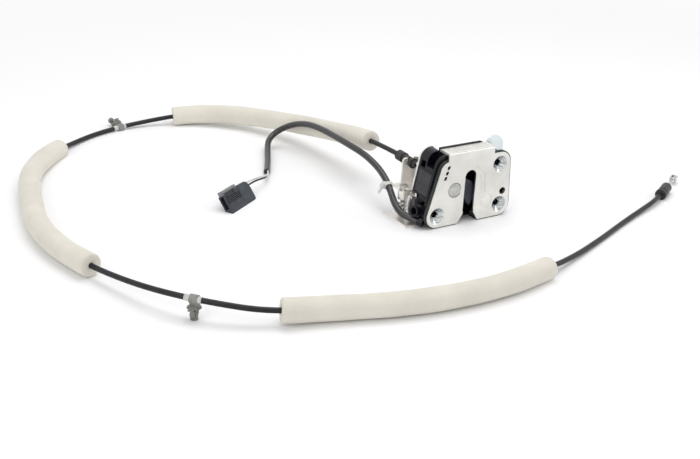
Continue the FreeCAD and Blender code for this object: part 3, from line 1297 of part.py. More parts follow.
doc.recompute()
faults = [item.Name for item in doc.Objects if {"Invalid", "Error"} & set(item.State)]
labels = [item.Label for item in nodes]
if len(set(labels)) != len(labels):
    faults.append("labels repeat")
for item in nodes:
    if item.Shape.isNull() or not item.Shape.isValid() or not item.Shape.Solids:
        faults.append(item.Label + " has no valid shape")
if faults:
    raise RuntimeError("; ".join(faults))
os.makedirs("parts", exist_ok=True)
for item in nodes:
    item.Shape.exportStep(os.path.join("parts", item.Label + ".step"))
print("%d sub-parts written" % len(nodes))
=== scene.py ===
"""A vehicle latch with its release cable and switch lead, dressed for a plain studio photograph."""

import math

import bmesh
import bpy
from mathutils import Matrix, Vector


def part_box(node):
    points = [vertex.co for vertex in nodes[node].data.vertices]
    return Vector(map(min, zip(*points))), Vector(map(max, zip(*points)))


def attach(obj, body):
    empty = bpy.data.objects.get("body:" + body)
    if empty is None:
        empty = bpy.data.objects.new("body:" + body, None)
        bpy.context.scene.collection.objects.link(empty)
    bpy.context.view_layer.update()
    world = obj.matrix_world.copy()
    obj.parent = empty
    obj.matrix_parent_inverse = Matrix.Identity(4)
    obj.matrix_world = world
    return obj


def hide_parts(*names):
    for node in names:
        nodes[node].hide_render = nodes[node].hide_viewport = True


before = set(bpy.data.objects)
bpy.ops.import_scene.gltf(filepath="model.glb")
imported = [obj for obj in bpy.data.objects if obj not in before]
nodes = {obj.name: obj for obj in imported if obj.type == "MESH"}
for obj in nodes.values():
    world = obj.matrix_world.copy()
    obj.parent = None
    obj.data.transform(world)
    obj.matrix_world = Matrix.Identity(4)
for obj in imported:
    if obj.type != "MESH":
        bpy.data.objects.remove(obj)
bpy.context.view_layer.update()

MM = 0.001
FRAME_HEIGHT = 44.0  # from the plate's lower edge up to the frame's zero, in mm
FLOOR_Z = -45.2 * MM
UP = Vector((0, 0, 1))


# Places. A cord's route holds (x, y, height over the plate's lower edge) points in mm, as in the
# CAD. The lines follow the photograph and lie up to 11 mm beside the solids' own.

def place(x, y, h):
    return Vector((x * MM, y * MM, (h - FRAME_HEIGHT) * MM))


CABLE_ROUTE = [
    (-37.7, 72.2, 50.8), (-37.3, 98.0, 49.5), (-34.2, 136.0, 44.4), (-35.4, 182.0, 35.6),
    (-41.0, 236.0, 26.0), (-54.4, 291.8, 17.0), (-86.4, 341.7, 13.2), (-135.3, 373.4, 10.4),
    (-190.0, 385.0, 3.4), (-240.0, 377.0, 1.3), (-284.0, 350.0, 2.4), (-324.4, 310.8, 7.4),
    (-356.5, 259.2, 9.8), (-371.2, 199.5, 9.8), (-383.0, 144.5, 9.8), (-381.1, 92.8, 9.8),
    (-369.3, 47.9, 9.6), (-354.3, 4.6, 12.0), (-338.0, -38.0, 17.0), (-310.0, -74.0, 17.6),
    (-270.0, -100.0, 12.4), (-219.7, -112.4, 9.8), (-171.0, -129.6, 9.8), (-117.8, -140.0, 9.8),
    (-64.1, -141.5, 9.8), (-12.5, -131.1, 8.4), (38.7, -113.2, 2.8), (92.2, -91.4, 1.3),
    (144.6, -68.8, 1.3), (184.9, -54.2, 2.6), (203.5, -48.3, 4.2), (222.0, -38.4, 4.3),
]
TUBE_ROUTE = [
    (-51.8, 10.8, 5.6), (-60.4, 23.6, 7.4), (-60.6, 38.0, 13.2),
    (-57.2, 52.0, 21.0), (-53.4, 68.0, 28.6), (-51.6, 88.0, 34.6),
    (-52.6, 112.0, 39.4), (-54.6, 142.0, 40.4), (-54.4, 174.0, 39.6),
    (-55.2, 202.0, 38.6), (-57.4, 227.0, 35.4), (-62.5, 248.4, 28.0),
    (-71.8, 265.0, 16.6), (-86.0, 261.0, 8.8), (-98.5, 237.0, 4.2),
    (-110.4, 212.8, 2.4), (-122.9, 190.8, 2.3),
]
WIRE_ROUTES = {
    "wire_white": [(-122.1, 190.2, 3.4), (-126.6, 179.4, 5.0), (-134.6, 169.4, 8.0),
                   (-144.6, 162.2, 10.8), (-156.4, 155.0, 13.0), (-168.4, 147.6, 13.9)],
    "wire_black": [(-124.1, 190.9, 1.4), (-128.6, 179.9, 2.8), (-136.4, 168.8, 6.0),
                   (-145.8, 160.8, 9.0), (-156.8, 153.2, 11.2), (-167.2, 146.2, 11.4)],
}
FOAM_ENDS = {  # (x, y) over or under each foam's two ends, in mm
    "foam_back": ((-34.7, 128.0), (-150.0, 376.0)),
    "foam_left": ((-299.0, 337.0), (-362.1, 44.1)),
    "foam_front": ((-256.2, -92.0), (-3.0, -132.0)),
}
CABLE_RADIUS = 2.5 * MM
TUBE_RADIUS = 3.4 * MM
WIRE_RADIUS = 0.95 * MM
FOAM_RADIUS = 10.6 * MM
FOAM_BORE_RADIUS = CABLE_RADIUS + 0.1 * MM
TAPE_RADIUS = CABLE_RADIUS + 0.3 * MM
HALF_TAPE = 7.5 * MM


# Shader helpers

EDGE_SAMPLES = 4
AXIS_EDGE_FROM = 0.92  # share of a radius at which its soft edge starts


def new_material(name):
    material = bpy.data.materials.new(name)
    material.use_nodes = True
    tree = material.node_tree
    return material, tree, tree.nodes["Principled BSDF"]


def object_place(tree):
    return tree.nodes.new("ShaderNodeTexCoord").outputs["Object"]


def noise(tree, scale, detail=3.0, roughness=0.5, stretch=None):
    coords = object_place(tree)
    if stretch is not None:
        mapping = tree.nodes.new("ShaderNodeMapping")
        mapping.inputs["Scale"].default_value = stretch
        tree.links.new(coords, mapping.inputs["Vector"])
        coords = mapping.outputs["Vector"]
    texture = tree.nodes.new("ShaderNodeTexNoise")
    texture.inputs["Scale"].default_value = scale
    texture.inputs["Detail"].default_value = detail
    texture.inputs["Roughness"].default_value = roughness
    tree.links.new(coords, texture.inputs["Vector"])
    return texture.outputs["Fac"]


def spread(tree, value, low, high, from_low=0.35, from_high=0.65):
    """A value stretched to run between two numbers; noise lies mostly from 0.35 to 0.65."""
    span = tree.nodes.new("ShaderNodeMapRange")
    span.inputs["From Min"].default_value = from_low
    span.inputs["From Max"].default_value = from_high
    span.inputs["To Min"].default_value = low
    span.inputs["To Max"].default_value = high
    tree.links.new(value, span.inputs["Value"])
    return span.outputs["Result"]


def calculated(tree, operation, *values):
    """A Math node's result from numbers and other nodes' outputs."""
    node = tree.nodes.new("ShaderNodeMath")
    node.operation = operation
    for socket, value in zip(node.inputs, values):
        if isinstance(value, float):
            socket.default_value = value
        else:
            tree.links.new(value, socket)
    return node.outputs["Value"]


def blended(tree, share, first, second):
    """The first colour where the share is 0 and the second at 1, each a tuple or an output."""
    mix = tree.nodes.new("ShaderNodeMix")
    mix.data_type = "RGBA"
    tree.links.new(share, mix.inputs["Factor"])
    for socket, color in ((mix.inputs["A"], first), (mix.inputs["B"], second)):
        if isinstance(color, tuple):
            socket.default_value = (*color, 1.0)
        else:
            tree.links.new(color, socket)
    return mix.outputs["Result"]


def bump(tree, height, strength, distance, normal=None):
    node = tree.nodes.new("ShaderNodeBump")
    node.inputs["Strength"].default_value = strength
    node.inputs["Distance"].default_value = distance
    tree.links.new(height, node.inputs["Height"])
    if normal is not None:
        tree.links.new(normal, node.inputs["Normal"])
    return node.outputs["Normal"]


def soft_edges(tree, radius):
    """Small rounded edges, as on any pressed or moulded part."""
    node = tree.nodes.new("ShaderNodeBevel")
    node.samples = EDGE_SAMPLES
    node.inputs["Radius"].default_value = radius
    return node.outputs["Normal"]


def near_axes(tree, spots, radius):
    """0 within a radius of an axis through the plate at one of the spots (x, z), else 1."""
    flat = tree.nodes.new("ShaderNodeVectorMath")
    flat.operation = "MULTIPLY"
    flat.inputs[1].default_value = (1.0, 0.0, 1.0)
    tree.links.new(object_place(tree), flat.inputs[0])
    result = None
    for x, z in spots:
        gap = tree.nodes.new("ShaderNodeVectorMath")
        gap.operation = "DISTANCE"
        gap.inputs[1].default_value = (x, 0.0, z)
        tree.links.new(flat.outputs["Vector"], gap.inputs[0])
        edge = spread(tree, gap.outputs["Value"], 0.0, 1.0, radius * AXIS_EDGE_FROM,
                      radius)
        result = edge if result is None else calculated(tree, "MULTIPLY", result, edge)
    return result


# Materials. Colours come in pairs, and a cloudy noise runs between the two.

CLOUD = {"detail": 4.0}
FINE = {"detail": 2.0, "roughness": 0.6}
METAL_GRAIN = 1500.0
METAL_GRAIN_STRENGTH, METAL_GRAIN_DEPTH = 0.12, 0.02 * MM
METAL_EDGE = 0.35 * MM
METAL_SMOOTHER, METAL_ROUGHER = 0.05, 0.08
PLASTIC_CLOUD = 140.0
PLASTIC_GRAIN = 2600.0
PLASTIC_GRAIN_STRENGTH, PLASTIC_GRAIN_DEPTH = 0.3, 0.03 * MM
PLASTIC_EDGE = 0.3 * MM
PLASTIC_SMOOTHER, PLASTIC_ROUGHER = 0.06, 0.08

PLATE_CLOUD = 55.0
PLATE_FACE = ((0.80, 0.79, 0.75), (0.72, 0.71, 0.67))
PLATE_FACE_ROUGHER = 0.16
SEATS = [(34.2 * MM, 11.0 * MM), (37.2 * MM, -32.0 * MM), (-36.9 * MM, -32.0 * MM)]
SEAT_RADIUS = 8.6 * MM
# The seats' cone colours are a painted reflection: a pale greenish tone and a dark streaked tone,
# stretched along the cones.
SEAT_REFLECTION_STREAKS = {"scale": 260.0, "roughness": 0.6, "stretch": (1.0, 0.2, 3.0)}
SEAT_PAINTED_REFLECTION = ((0.74, 0.77, 0.76), (0.30, 0.32, 0.33))
SEAT_ROUGHNESS = (0.14, 0.24)
GROOVE_Z, GROOVE_SLACK = 30.2 * MM, 0.08 * MM
# A dark ring round the claw's rivet and a dark line along the panel's groove are painted shade, in
# one tone.
RIVET_SHADE_WIDTH = 0.95 * MM
PAINTED_SHADE_TONE = (0.05, 0.05, 0.05)

FOAM_TONES = ((0.78, 0.745, 0.66), (0.70, 0.665, 0.585))
FOAM_STAINS = {"scale": 34.0, "detail": 5.0, "roughness": 0.6}
FOAM_STAIN_RANGE = (0.3, 0.7)
FOAM_CELLS = {"scale": 1300.0, "detail": 4.0, "roughness": 0.7}
FOAM_CELL_STRENGTH, FOAM_CELL_DEPTH = 0.5, 0.25 * MM
FOAM_DENTS = {"scale": 110.0, "detail": 2.0}
FOAM_DENT_STRENGTH, FOAM_DENT_DEPTH = 0.15, 0.4 * MM


def metal_normal(tree, fine):
    return bump(tree, fine, METAL_GRAIN_STRENGTH, METAL_GRAIN_DEPTH, soft_edges(tree, METAL_EDGE))


def metal(name, light, dark, rough, patch=60.0, metallic=1.0):
    """Plated or drawn steel: cloudy patches of tone, fine grain and soft edges."""
    material, tree, shader = new_material(name)
    cloud = spread(tree, noise(tree, patch, **CLOUD), 0.0, 1.0)
    tree.links.new(blended(tree, cloud, light, dark), shader.inputs["Base Color"])
    shader.inputs["Metallic"].default_value = metallic
    fine = noise(tree, METAL_GRAIN, **FINE)
    tree.links.new(spread(tree, fine, rough - METAL_SMOOTHER, rough + METAL_ROUGHER),
                   shader.inputs["Roughness"])
    tree.links.new(metal_normal(tree, fine), shader.inputs["Normal"])
    return material


def plate_material():
    """Zinc plated sheet: satin on its face and smoother in the pressed seats, whose cones carry a
    painted reflection, pale greenish and dark streaked; with a painted shade line in the panel's
    groove and a painted shade ring round the claw's rivet."""
    material, tree, shader = new_material("plate_zinc")
    cloud = spread(tree, noise(tree, PLATE_CLOUD, **CLOUD), 0.0, 1.0)
    # Painted reflection in the seats: streaked light and dark tones across the cones.
    reflection_streaks = spread(tree, noise(tree, **SEAT_REFLECTION_STREAKS), 0.0, 1.0)
    off_seats = near_axes(tree, SEATS, SEAT_RADIUS)
    tone = blended(tree, off_seats, blended(tree, reflection_streaks, *SEAT_PAINTED_REFLECTION),
                   blended(tree, cloud, *PLATE_FACE))

    # Painted shade: a dark ring round the claw's rivet head, as in the gap's shadow line.
    low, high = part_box("claw_rivet")
    rivet_spot = ((low[0] + high[0]) / 2, (low[2] + high[2]) / 2)
    off_rivet_shade = near_axes(tree, [rivet_spot], (high[0] - low[0]) / 2 + RIVET_SHADE_WIDTH)
    tone = blended(tree, off_rivet_shade, PAINTED_SHADE_TONE, tone)

    # Painted shade: a dark line along the bottom of the panel's groove.
    axes = tree.nodes.new("ShaderNodeSeparateXYZ")
    tree.links.new(object_place(tree), axes.inputs["Vector"])
    in_groove_shade = calculated(tree, "COMPARE", axes.outputs["Z"], GROOVE_Z, GROOVE_SLACK)
    tree.links.new(blended(tree, in_groove_shade, tone, PAINTED_SHADE_TONE), shader.inputs["Base Color"])

    shader.inputs["Metallic"].default_value = 1.0
    fine = noise(tree, METAL_GRAIN, **FINE)
    rough = calculated(tree, "MULTIPLY_ADD", off_seats, PLATE_FACE_ROUGHER,
                       spread(tree, fine, *SEAT_ROUGHNESS))
    tree.links.new(rough, shader.inputs["Roughness"])
    tree.links.new(metal_normal(tree, fine), shader.inputs["Normal"])
    return material


def plastic(name, light, dark, rough, gloss=0.26):
    """Moulded plastic or rubber: slight mottling, a fine moulded grain and soft edges."""
    material, tree, shader = new_material(name)
    cloud = spread(tree, noise(tree, PLASTIC_CLOUD), 0.0, 1.0)
    tree.links.new(blended(tree, cloud, light, dark), shader.inputs["Base Color"])
    shader.inputs["Specular IOR Level"].default_value = gloss
    fine = noise(tree, PLASTIC_GRAIN, **FINE)
    tree.links.new(spread(tree, fine, rough - PLASTIC_SMOOTHER, rough + PLASTIC_ROUGHER),
                   shader.inputs["Roughness"])
    tree.links.new(bump(tree, fine, PLASTIC_GRAIN_STRENGTH, PLASTIC_GRAIN_DEPTH,
                        soft_edges(tree, PLASTIC_EDGE)), shader.inputs["Normal"])
    return material


def foam_material():
    """Pale closed-cell foam: fine cells, soft stains and no gloss."""
    material, tree, shader = new_material("foam_pale")
    stain = spread(tree, noise(tree, **FOAM_STAINS), 0.0, 1.0, *FOAM_STAIN_RANGE)
    tree.links.new(blended(tree, stain, *FOAM_TONES), shader.inputs["Base Color"])
    shader.inputs["Roughness"].default_value = 0.95
    shader.inputs["Specular IOR Level"].default_value = 0.15
    shader.inputs["Sheen Weight"].default_value = 0.25
    dents = bump(tree, noise(tree, **FOAM_DENTS), FOAM_DENT_STRENGTH, FOAM_DENT_DEPTH)
    cells = bump(tree, noise(tree, **FOAM_CELLS), FOAM_CELL_STRENGTH, FOAM_CELL_DEPTH, dents)
    tree.links.new(cells, shader.inputs["Normal"])
    return material


PLATE = plate_material()
LOBE = metal("back_plate_zinc", (0.74, 0.80, 0.82), (0.66, 0.72, 0.76), 0.26)
BRACKET = metal("bracket_zinc", (0.90, 0.87, 0.83), (0.78, 0.75, 0.71), 0.36, 90.0,
                metallic=0.7)
RIVET = metal("rivet_steel", (0.58, 0.58, 0.57), (0.42, 0.42, 0.41), 0.36, 200.0)
WIRE = metal("drawn_wire", (0.72, 0.72, 0.72), (0.5, 0.5, 0.5), 0.22, 300.0)
DARK_STEEL = metal("phosphated_steel", (0.30, 0.30, 0.32), (0.18, 0.18, 0.2), 0.4, 120.0)
BRASS = metal("tinned_brass", (0.72, 0.60, 0.36), (0.6, 0.48, 0.28), 0.3)
CASE = plastic("case_black", (0.008, 0.008, 0.013), (0.004, 0.004, 0.007), 0.2)
COVER = plastic("cover_grey", (0.050, 0.051, 0.058), (0.036, 0.037, 0.043), 0.42)
CLAW_SKIN = plastic("claw_skin", (0.040, 0.046, 0.060), (0.026, 0.030, 0.042), 0.38)
SEAL = plastic("seal_rubber", (0.060, 0.066, 0.060), (0.040, 0.046, 0.042), 0.7)
DARK = plastic("dark_nylon", (0.050, 0.048, 0.046), (0.034, 0.033, 0.032), 0.45)
LEVER = plastic("lever_grey", (0.10, 0.10, 0.105), (0.07, 0.07, 0.075), 0.36)
CONDUIT = plastic("cable_sheath", (0.020, 0.020, 0.022), (0.012, 0.012, 0.014), 0.36)
TUBE = plastic("lead_sleeve", (0.026, 0.025, 0.026), (0.018, 0.017, 0.018), 0.24, gloss=0.6)
TAPE = plastic("pale_tape", (0.72, 0.72, 0.70), (0.60, 0.60, 0.58), 0.5)
CLIP = plastic("clip_grey", (0.28, 0.28, 0.262), (0.19, 0.19, 0.178), 0.4)
WHITE = plastic("white_nylon", (0.72, 0.72, 0.70), (0.62, 0.62, 0.60), 0.4)
BLACK_WIRE = plastic("black_wire", (0.02, 0.02, 0.02), (0.012, 0.012, 0.012), 0.4)
PLUG = plastic("plug_blue_grey", (0.058, 0.063, 0.076), (0.042, 0.046, 0.058), 0.34)
PLUG_CAP = plastic("plug_cap_grey", (0.062, 0.070, 0.080), (0.046, 0.053, 0.062), 0.36)
PLUG_RAIL = plastic("plug_rail_grey", (0.27, 0.27, 0.28), (0.21, 0.21, 0.22), 0.4)
FOAM = foam_material()

NODE_MATERIALS = {
    "front_plate": PLATE, "face_seal": SEAL, "lock_case": CASE, "switch_cover": COVER,
    "back_plate": LOBE, "rear_cover": CASE, "claw_rivet": RIVET, "pawl_rivet": RIVET,
    "cable_bracket": BRACKET, "bracket_rivets": RIVET, "lever_pin": RIVET,
    "release_lever": BRACKET, "lever_blade": LEVER, "harness_gland": CASE,
    "lever_spring": WIRE, "claw_spring": WIRE, "pawl_spring": WIRE,
    "link_rod": WIRE, "claw": DARK_STEEL, "claw_skin": CLAW_SKIN, "pawl": DARK_STEEL,
    "switch_body": DARK, "switch_plunger": COVER, "near_ferrule": DARK, "far_ferrule": DARK,
    "near_wire": WIRE, "far_wire": WIRE, "end_fitting": WIRE, "harness_boot": CASE,
    "cable_tie": WHITE, "clip_back": CLIP, "clip_front": CLIP, "plug_shell": PLUG,
    "plug_cap": PLUG_CAP, "plug_latch": PLUG_RAIL, "plug_blades": BRASS,
}
for node_name, node_material in NODE_MATERIALS.items():
    node = nodes[node_name]
    node.data.materials.clear()
    node.data.materials.append(node_material)


# Cords

CURVE_STEPS = 16
CORD_ROUNDNESS = 8
SLEEVE_SIDES = 64


def route_curve(name, points):
    """A smooth line with the route's points as its control points."""
    curve = bpy.data.curves.new(name, "CURVE")
    curve.dimensions = "3D"
    spline = curve.splines.new("NURBS")
    spline.points.add(len(points) - 1)
    for point, spot in zip(spline.points, points):
        point.co = (*place(*spot), 1.0)
    spline.order_u = 3
    spline.use_endpoint_u = True
    curve.resolution_u = CURVE_STEPS
    return curve


def cord(name, points, radius, material):
    curve = route_curve(name, points)
    curve.bevel_depth = radius
    curve.bevel_resolution = CORD_ROUNDNESS
    curve.use_fill_caps = True
    piece = bpy.data.objects.new(name, curve)
    bpy.context.collection.objects.link(piece)
    curve.materials.append(material)
    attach(piece, "housing")
    return piece


def centreline(points):
    """Points along the smooth line of a route, with the length run to each."""
    curve = route_curve("centreline", points)
    holder = bpy.data.objects.new("centreline", curve)
    mesh = bpy.data.meshes.new_from_object(holder)
    line = [vertex.co.copy() for vertex in mesh.vertices]
    runs = [0.0]
    for before, after in zip(line, line[1:]):
        runs.append(runs[-1] + (after - before).length)
    bpy.data.objects.remove(holder)
    bpy.data.curves.remove(curve)
    bpy.data.meshes.remove(mesh)
    return line, runs


def line_length(points):
    return centreline(points)[1][-1]


cable_line, cable_runs = centreline(CABLE_ROUTE)


def nearest_run(spot):
    """The length along the cable's line to the point nearest a place."""
    gaps = [(point - spot).length for point in cable_line]
    return cable_runs[gaps.index(min(gaps))]


def run_near(x, y):
    """The length along the cable to the point over or under a place on the floor, in mm."""
    gaps = [(point.xy - Vector((x * MM, y * MM))).length for point in cable_line]
    return cable_runs[gaps.index(min(gaps))]


def at_run(run):
    """The point of the cable's line at a length along it, and the line's direction there."""
    for index in range(1, len(cable_line)):
        if cable_runs[index] >= run:
            break
    before, after = cable_line[index - 1], cable_line[index]
    share = (run - cable_runs[index - 1]) / (cable_runs[index] - cable_runs[index - 1])
    return before.lerp(after, share), (after - before).normalized()


def new_piece(name, mesh, material, smooth=True):
    piece = bpy.data.objects.new(name, mesh)
    bpy.context.collection.objects.link(piece)
    mesh.materials.append(material)
    if smooth:
        mesh.shade_smooth()
    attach(piece, "housing")
    return piece


def join_rings(build, rings):
    """Faces between each ring of vertices and the next."""
    for first, second in zip(rings, rings[1:]):
        for index in range(len(first)):
            after = (index + 1) % len(first)
            build.faces.new((first[index], first[after], second[after], second[index]))


def sleeve(name, start, profile, material):
    """A sleeve round the cable: its profile holds (length from the start, radius) pairs."""
    build = bmesh.new()
    rings = []
    for step, radius in profile:
        centre, way = at_run(start + step)
        side = way.cross(UP).normalized()
        up = side.cross(way)
        ring = []
        for index in range(SLEEVE_SIDES):
            angle = 2 * math.pi * index / SLEEVE_SIDES
            spot = centre + (side * math.cos(angle) + up * math.sin(angle)) * radius
            ring.append(build.verts.new(spot))
        rings.append(ring)
    join_rings(build, rings)
    build.normal_update()
    mesh = bpy.data.meshes.new(name)
    build.to_mesh(mesh)
    build.free()
    return new_piece(name, mesh, material)


FOAM_ROUND = 1.2 * MM
FOAM_ROUND_SHARE = 0.3  # how far in the rounded edge's middle lies, as a share of the round
FOAM_LIP_DEPTH, FOAM_LIP = 0.4 * MM, 1.0 * MM
FOAM_RING_GAP = 5 * MM
FOAM_SWELLS = ((0.12 * MM, 61.0, 0.0), (0.08 * MM, 147.0, 1.0))  # height, rate, phase


def foam_profile(length):
    """A cut foam end: the bore's edge, a flat face, a small round, then the outside."""
    inner = FOAM_ROUND * FOAM_ROUND_SHARE
    ends = [(FOAM_LIP_DEPTH, FOAM_BORE_RADIUS), (0.0, FOAM_BORE_RADIUS + FOAM_LIP),
            (0.0, FOAM_RADIUS - FOAM_ROUND), (inner, FOAM_RADIUS - inner),
            (FOAM_ROUND, FOAM_RADIUS)]
    middle = []
    count = int(length / FOAM_RING_GAP)
    for index in range(1, count):
        run = FOAM_ROUND + (length - 2 * FOAM_ROUND) * index / count
        swell = sum(height * math.sin(run * rate + phase) for height, rate, phase in FOAM_SWELLS)
        middle.append((run, FOAM_RADIUS + swell))
    return ends + middle + [(length - step, size) for step, size in reversed(ends)]


cable = cord("cable", CABLE_ROUTE, CABLE_RADIUS, CONDUIT)
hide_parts("cable_conduit")
for foam_name, (first_end, last_end) in FOAM_ENDS.items():
    foam_start = run_near(*first_end)
    foam_length = run_near(*last_end) - foam_start
    foam = sleeve(foam_name + "_sleeve", foam_start, foam_profile(foam_length), FOAM)
    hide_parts(foam_name)

TAPE_PROFILE = [(0.0, CABLE_RADIUS), (0.0, TAPE_RADIUS), (HALF_TAPE, TAPE_RADIUS),
                (2 * HALF_TAPE, TAPE_RADIUS), (2 * HALF_TAPE, CABLE_RADIUS)]
for tape_name in ("tape_back", "tape_front"):
    low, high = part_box(tape_name)
    tape_middle = nearest_run((Vector(low) + Vector(high)) / 2)
    tape = sleeve(tape_name + "_wrap", tape_middle - HALF_TAPE, TAPE_PROFILE, TAPE)
    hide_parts(tape_name)

lead = cord("lead_sleeve", TUBE_ROUTE, TUBE_RADIUS, TUBE)
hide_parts("harness_tube")
for wire_name, wire_material, slot_name in (("wire_white", WHITE, "white_plastic"),
                                            ("wire_black", BLACK_WIRE, "black_wire")):
    wire = cord(wire_name + "_cord", WIRE_ROUTES[wire_name], WIRE_RADIUS, wire_material)
    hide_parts(wire_name)


# Plug details, in the plug's own frame: X from mouth to rear, Y up its face, Z out of it, in mm

PLUG_ORIGIN = place(-199.2, 113.4, -1.2)
PLUG_HEADING = math.radians(32.8)
PLUG_LEAN = math.radians(56.3)
PLUG_TURN = Matrix.Rotation(PLUG_HEADING, 3, "Z") @ Matrix.Rotation(PLUG_LEAN, 3, "X")
PLUG_THICK = 7.0
PLUG_CUT = PLUG_THICK / math.tan(PLUG_LEAN)
CAP_SECTIONS = [  # x, low, top, inset
    (27.6, 0.6, 20.2, 0.4), (29.6, 0.0, 21.8, 0.0), (39.6, 0.0, 21.8, 0.0),
    (44.4, 0.6, 17.4, 0.0), (46.2, 2.6, 12.4, 0.8),
]
RIB_BARS = [  # x, y and z, each low and high: four long ribs, three at the mouth, three bars
    (2.0, 26.6, 10.5, 11.1, -0.3, 0.8), (2.0, 26.6, 12.1, 12.7, -0.3, 0.8),
    (2.0, 26.6, 13.7, 14.3, -0.3, 0.8), (2.0, 26.6, 15.3, 15.9, -0.3, 0.8),
    (1.2, 4.6, 2.1, 3.1, -0.3, 0.4), (1.2, 4.6, 5.1, 6.1, -0.3, 0.4),
    (1.2, 4.6, 7.9, 8.9, -0.3, 0.4),
    (17.0, 26.8, 16.8, 19.4, -0.3, 0.8), (3.4, 15.4, 17.5, 18.5, -0.3, 0.7),
    (4.2, 24.0, 19.9, 21.4, -6.0, -2.2),
]
# Black bars just over the face between and beside the ribs: painted shade in the plug's hollows.
RIB_SHADE_BARS = [(2.6, 26.2, 10.0, 16.4, -0.3, 0.15), (2.6, 16.6, 16.6, 19.4, -0.3, 0.15)]
RAIL_BAR = (0.8, 25.0, 22.3, 24.6, -6.2, -0.7)
SEAL_BARS = [(40.0, 44.6, 19.0, -2.6, 1.5), (41.0, 44.6, 15.6, -2.6, 1.5)]  # x, x, y, z, radius
SEAL_SIDES = 12


def lofted_piece(name, bodies, material, soft):
    """A piece of lofted bodies, each a list of sections of (x, y, z) points, with soft edges."""
    build = bmesh.new()
    for sections in bodies:
        rings = [[build.verts.new(Vector(spot) * MM) for spot in section]
                 for section in sections]
        join_rings(build, rings)
        build.faces.new(list(reversed(rings[0])))
        build.faces.new(rings[-1])
    bmesh.ops.recalc_face_normals(build, faces=build.faces[:])
    bmesh.ops.bevel(build, geom=build.edges[:], offset=soft, segments=2, profile=0.7,
                    affect="EDGES")
    for vertex in build.verts:
        vertex.co = PLUG_TURN @ vertex.co + PLUG_ORIGIN
    mesh = bpy.data.meshes.new(name)
    build.to_mesh(mesh)
    build.free()
    return new_piece(name, mesh, material, smooth=False)


def cap_section(x, low, top, inset):
    """One section of the plug's rear cap, cut at its lower back so that the plug lies flat."""
    return [(x, low, -inset), (x, top, -inset), (x, top, inset - PLUG_THICK),
            (x, PLUG_CUT + inset, inset - PLUG_THICK)]


def bar(x_low, x_high, y_low, y_high, z_low, z_high):
    return [[(x, y_low, z_low), (x, y_high, z_low), (x, y_high, z_high), (x, y_low, z_high)]
            for x in (x_low, x_high)]


def round_bar(x_low, x_high, y, z, radius):
    angles = [2 * math.pi * step / SEAL_SIDES for step in range(SEAL_SIDES)]
    return [[(x, y + radius * math.cos(angle), z + radius * math.sin(angle)) for angle in angles]
            for x in (x_low, x_high)]


plug_cap = lofted_piece("plug_cap_moulded", [[cap_section(*row) for row in CAP_SECTIONS]],
                        PLUG_CAP, 0.35 * MM)
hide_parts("plug_cap")
plug_ribs = lofted_piece("plug_ribs", [bar(*row) for row in RIB_BARS], PLUG, 0.12 * MM)
# Painted shade: black bars over the plug's hollows between its ribs.
plug_rib_shade = lofted_piece("plug_rib_shade", [bar(*row) for row in RIB_SHADE_BARS], CASE, 0.05 * MM)
plug_rail = lofted_piece("plug_latch_rail", [bar(*RAIL_BAR)], PLUG_RAIL, 0.3 * MM)
plug_seals = lofted_piece("plug_wire_seals", [round_bar(*row) for row in SEAL_BARS], DARK,
                          0.2 * MM)

line_length(TUBE_ROUTE)
plug_nodes = [nodes[name] for name in ("plug_shell", "plug_latch", "plug_blades")]
plug_nodes += [plug_cap, plug_ribs, plug_rib_shade, plug_rail, plug_seals]
line_length(WIRE_ROUTES["wire_white"])
line_length(WIRE_ROUTES["wire_black"])


# Floor, light and camera

FLOOR_HALF = 4.0
FLOOR_TONE = (0.97, 0.97, 0.98, 1.0)
FADE_FROM, FADE_TO = 0.5, 1.3  # distances over which the floor runs out to plain white
SKY_LIGHT = 0.56
LIGHTS = {  # place, target, size and power
    "over": ((0.1, 0.2, 1.3), (-0.05, 0.1, 0.0), (1.4, 1.0), 9.6),
    "left": ((-1.3, -0.5, 0.8), (-0.05, 0.1, 0.0), (0.9, 0.9), 4.6),
    "right": ((1.2, -0.6, 0.7), (0.0, 0.0, 0.0), (0.7, 0.9), 3.2),
}
VIEW_WAY = Vector((0.4823, 0.7717, -0.4147)).normalized()
VIEW_PLACE = Vector((-651.2, -826.2, 417.0)) * MM
VIEW_ROLL = math.radians(3.0)
SENSOR = 36.0
FOCAL_PIXELS = 1163.0
PHOTO_WIDTH = 700.0


def floor_material():
    """Pale paper that keeps the shadows near the part and is seen as plain white far from it."""
    material, tree, shader = new_material("floor_paper")
    shader.inputs["Base Color"].default_value = FLOOR_TONE
    shader.inputs["Roughness"].default_value = 0.55
    shader.inputs["Specular IOR Level"].default_value = 0.25
    away = tree.nodes.new("ShaderNodeVectorMath")
    away.operation = "LENGTH"
    tree.links.new(object_place(tree), away.inputs[0])
    far = spread(tree, away.outputs["Value"], 0.0, 1.0, FADE_FROM, FADE_TO)
    rays = tree.nodes.new("ShaderNodeLightPath")
    white = tree.nodes.new("ShaderNodeEmission")
    mix = tree.nodes.new("ShaderNodeMixShader")
    tree.links.new(calculated(tree, "MULTIPLY", far, rays.outputs["Is Camera Ray"]),
                   mix.inputs["Fac"])
    tree.links.new(shader.outputs["BSDF"], mix.inputs[1])
    tree.links.new(white.outputs["Emission"], mix.inputs[2])
    tree.links.new(mix.outputs["Shader"], tree.nodes["Material Output"].inputs["Surface"])
    return material


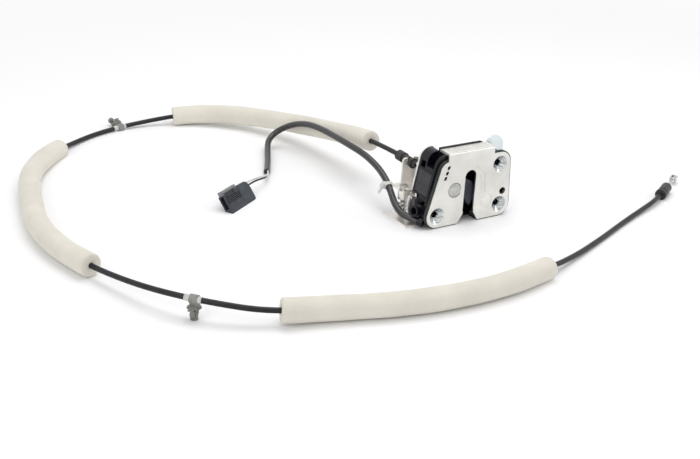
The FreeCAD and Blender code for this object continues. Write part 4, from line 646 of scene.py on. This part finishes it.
def stage_floor():
    mesh = bpy.data.meshes.new("floor")
    corners = [(-FLOOR_HALF, -FLOOR_HALF, FLOOR_Z), (FLOOR_HALF, -FLOOR_HALF, FLOOR_Z),
               (FLOOR_HALF, FLOOR_HALF, FLOOR_Z), (-FLOOR_HALF, FLOOR_HALF, FLOOR_Z)]
    mesh.from_pydata(corners, [], [(0, 1, 2, 3)])
    floor = bpy.data.objects.new("floor", mesh)
    bpy.context.collection.objects.link(floor)
    mesh.materials.append(floor_material())


def area_light(name, spot, target, size, power):
    lamp = bpy.data.lights.new(name, "AREA")
    lamp.shape = "RECTANGLE"
    lamp.size, lamp.size_y = size
    lamp.energy = power
    holder = bpy.data.objects.new(name, lamp)
    holder.location = spot
    holder.rotation_euler = (Vector(target) - Vector(spot)).to_track_quat("-Z", "Y").to_euler()
    bpy.context.collection.objects.link(holder)


def studio_world():
    """A room that lights softly, and that the camera and mirroring surfaces see as white."""
    world = bpy.data.worlds.new("studio")
    world.use_nodes = True
    sky = world.node_tree
    rays = sky.nodes.new("ShaderNodeLightPath")
    seen = calculated(sky, "ADD", rays.outputs["Is Camera Ray"], rays.outputs["Is Glossy Ray"])
    background = sky.nodes["Background"]
    background.inputs["Color"].default_value = (1.0, 1.0, 1.0, 1.0)
    sky.links.new(spread(sky, seen, SKY_LIGHT, 1.0, 0.0, 1.0), background.inputs["Strength"])
    bpy.context.scene.world = world


def photo_camera():
    level_right = VIEW_WAY.cross(UP).normalized()
    level_up = level_right.cross(VIEW_WAY)
    right = level_right * math.cos(VIEW_ROLL) + level_up * math.sin(VIEW_ROLL)
    up = level_up * math.cos(VIEW_ROLL) - level_right * math.sin(VIEW_ROLL)
    camera_data = bpy.data.cameras.new("photo")
    camera_data.sensor_width = SENSOR
    camera_data.lens = FOCAL_PIXELS / PHOTO_WIDTH * SENSOR
    camera_data.clip_start = 0.01
    camera = bpy.data.objects.new("photo", camera_data)
    camera.matrix_world = Matrix((
        (right.x, up.x, -VIEW_WAY.x, VIEW_PLACE.x),
        (right.y, up.y, -VIEW_WAY.y, VIEW_PLACE.y),
        (right.z, up.z, -VIEW_WAY.z, VIEW_PLACE.z),
        (0.0, 0.0, 0.0, 1.0),
    ))
    bpy.context.collection.objects.link(camera)
    return camera


stage_floor()
for light_name, light_settings in LIGHTS.items():
    area_light(light_name, *light_settings)
studio_world()
bpy.context.scene.camera = photo_camera()
bpy.context.scene.view_settings.view_transform = "Standard"
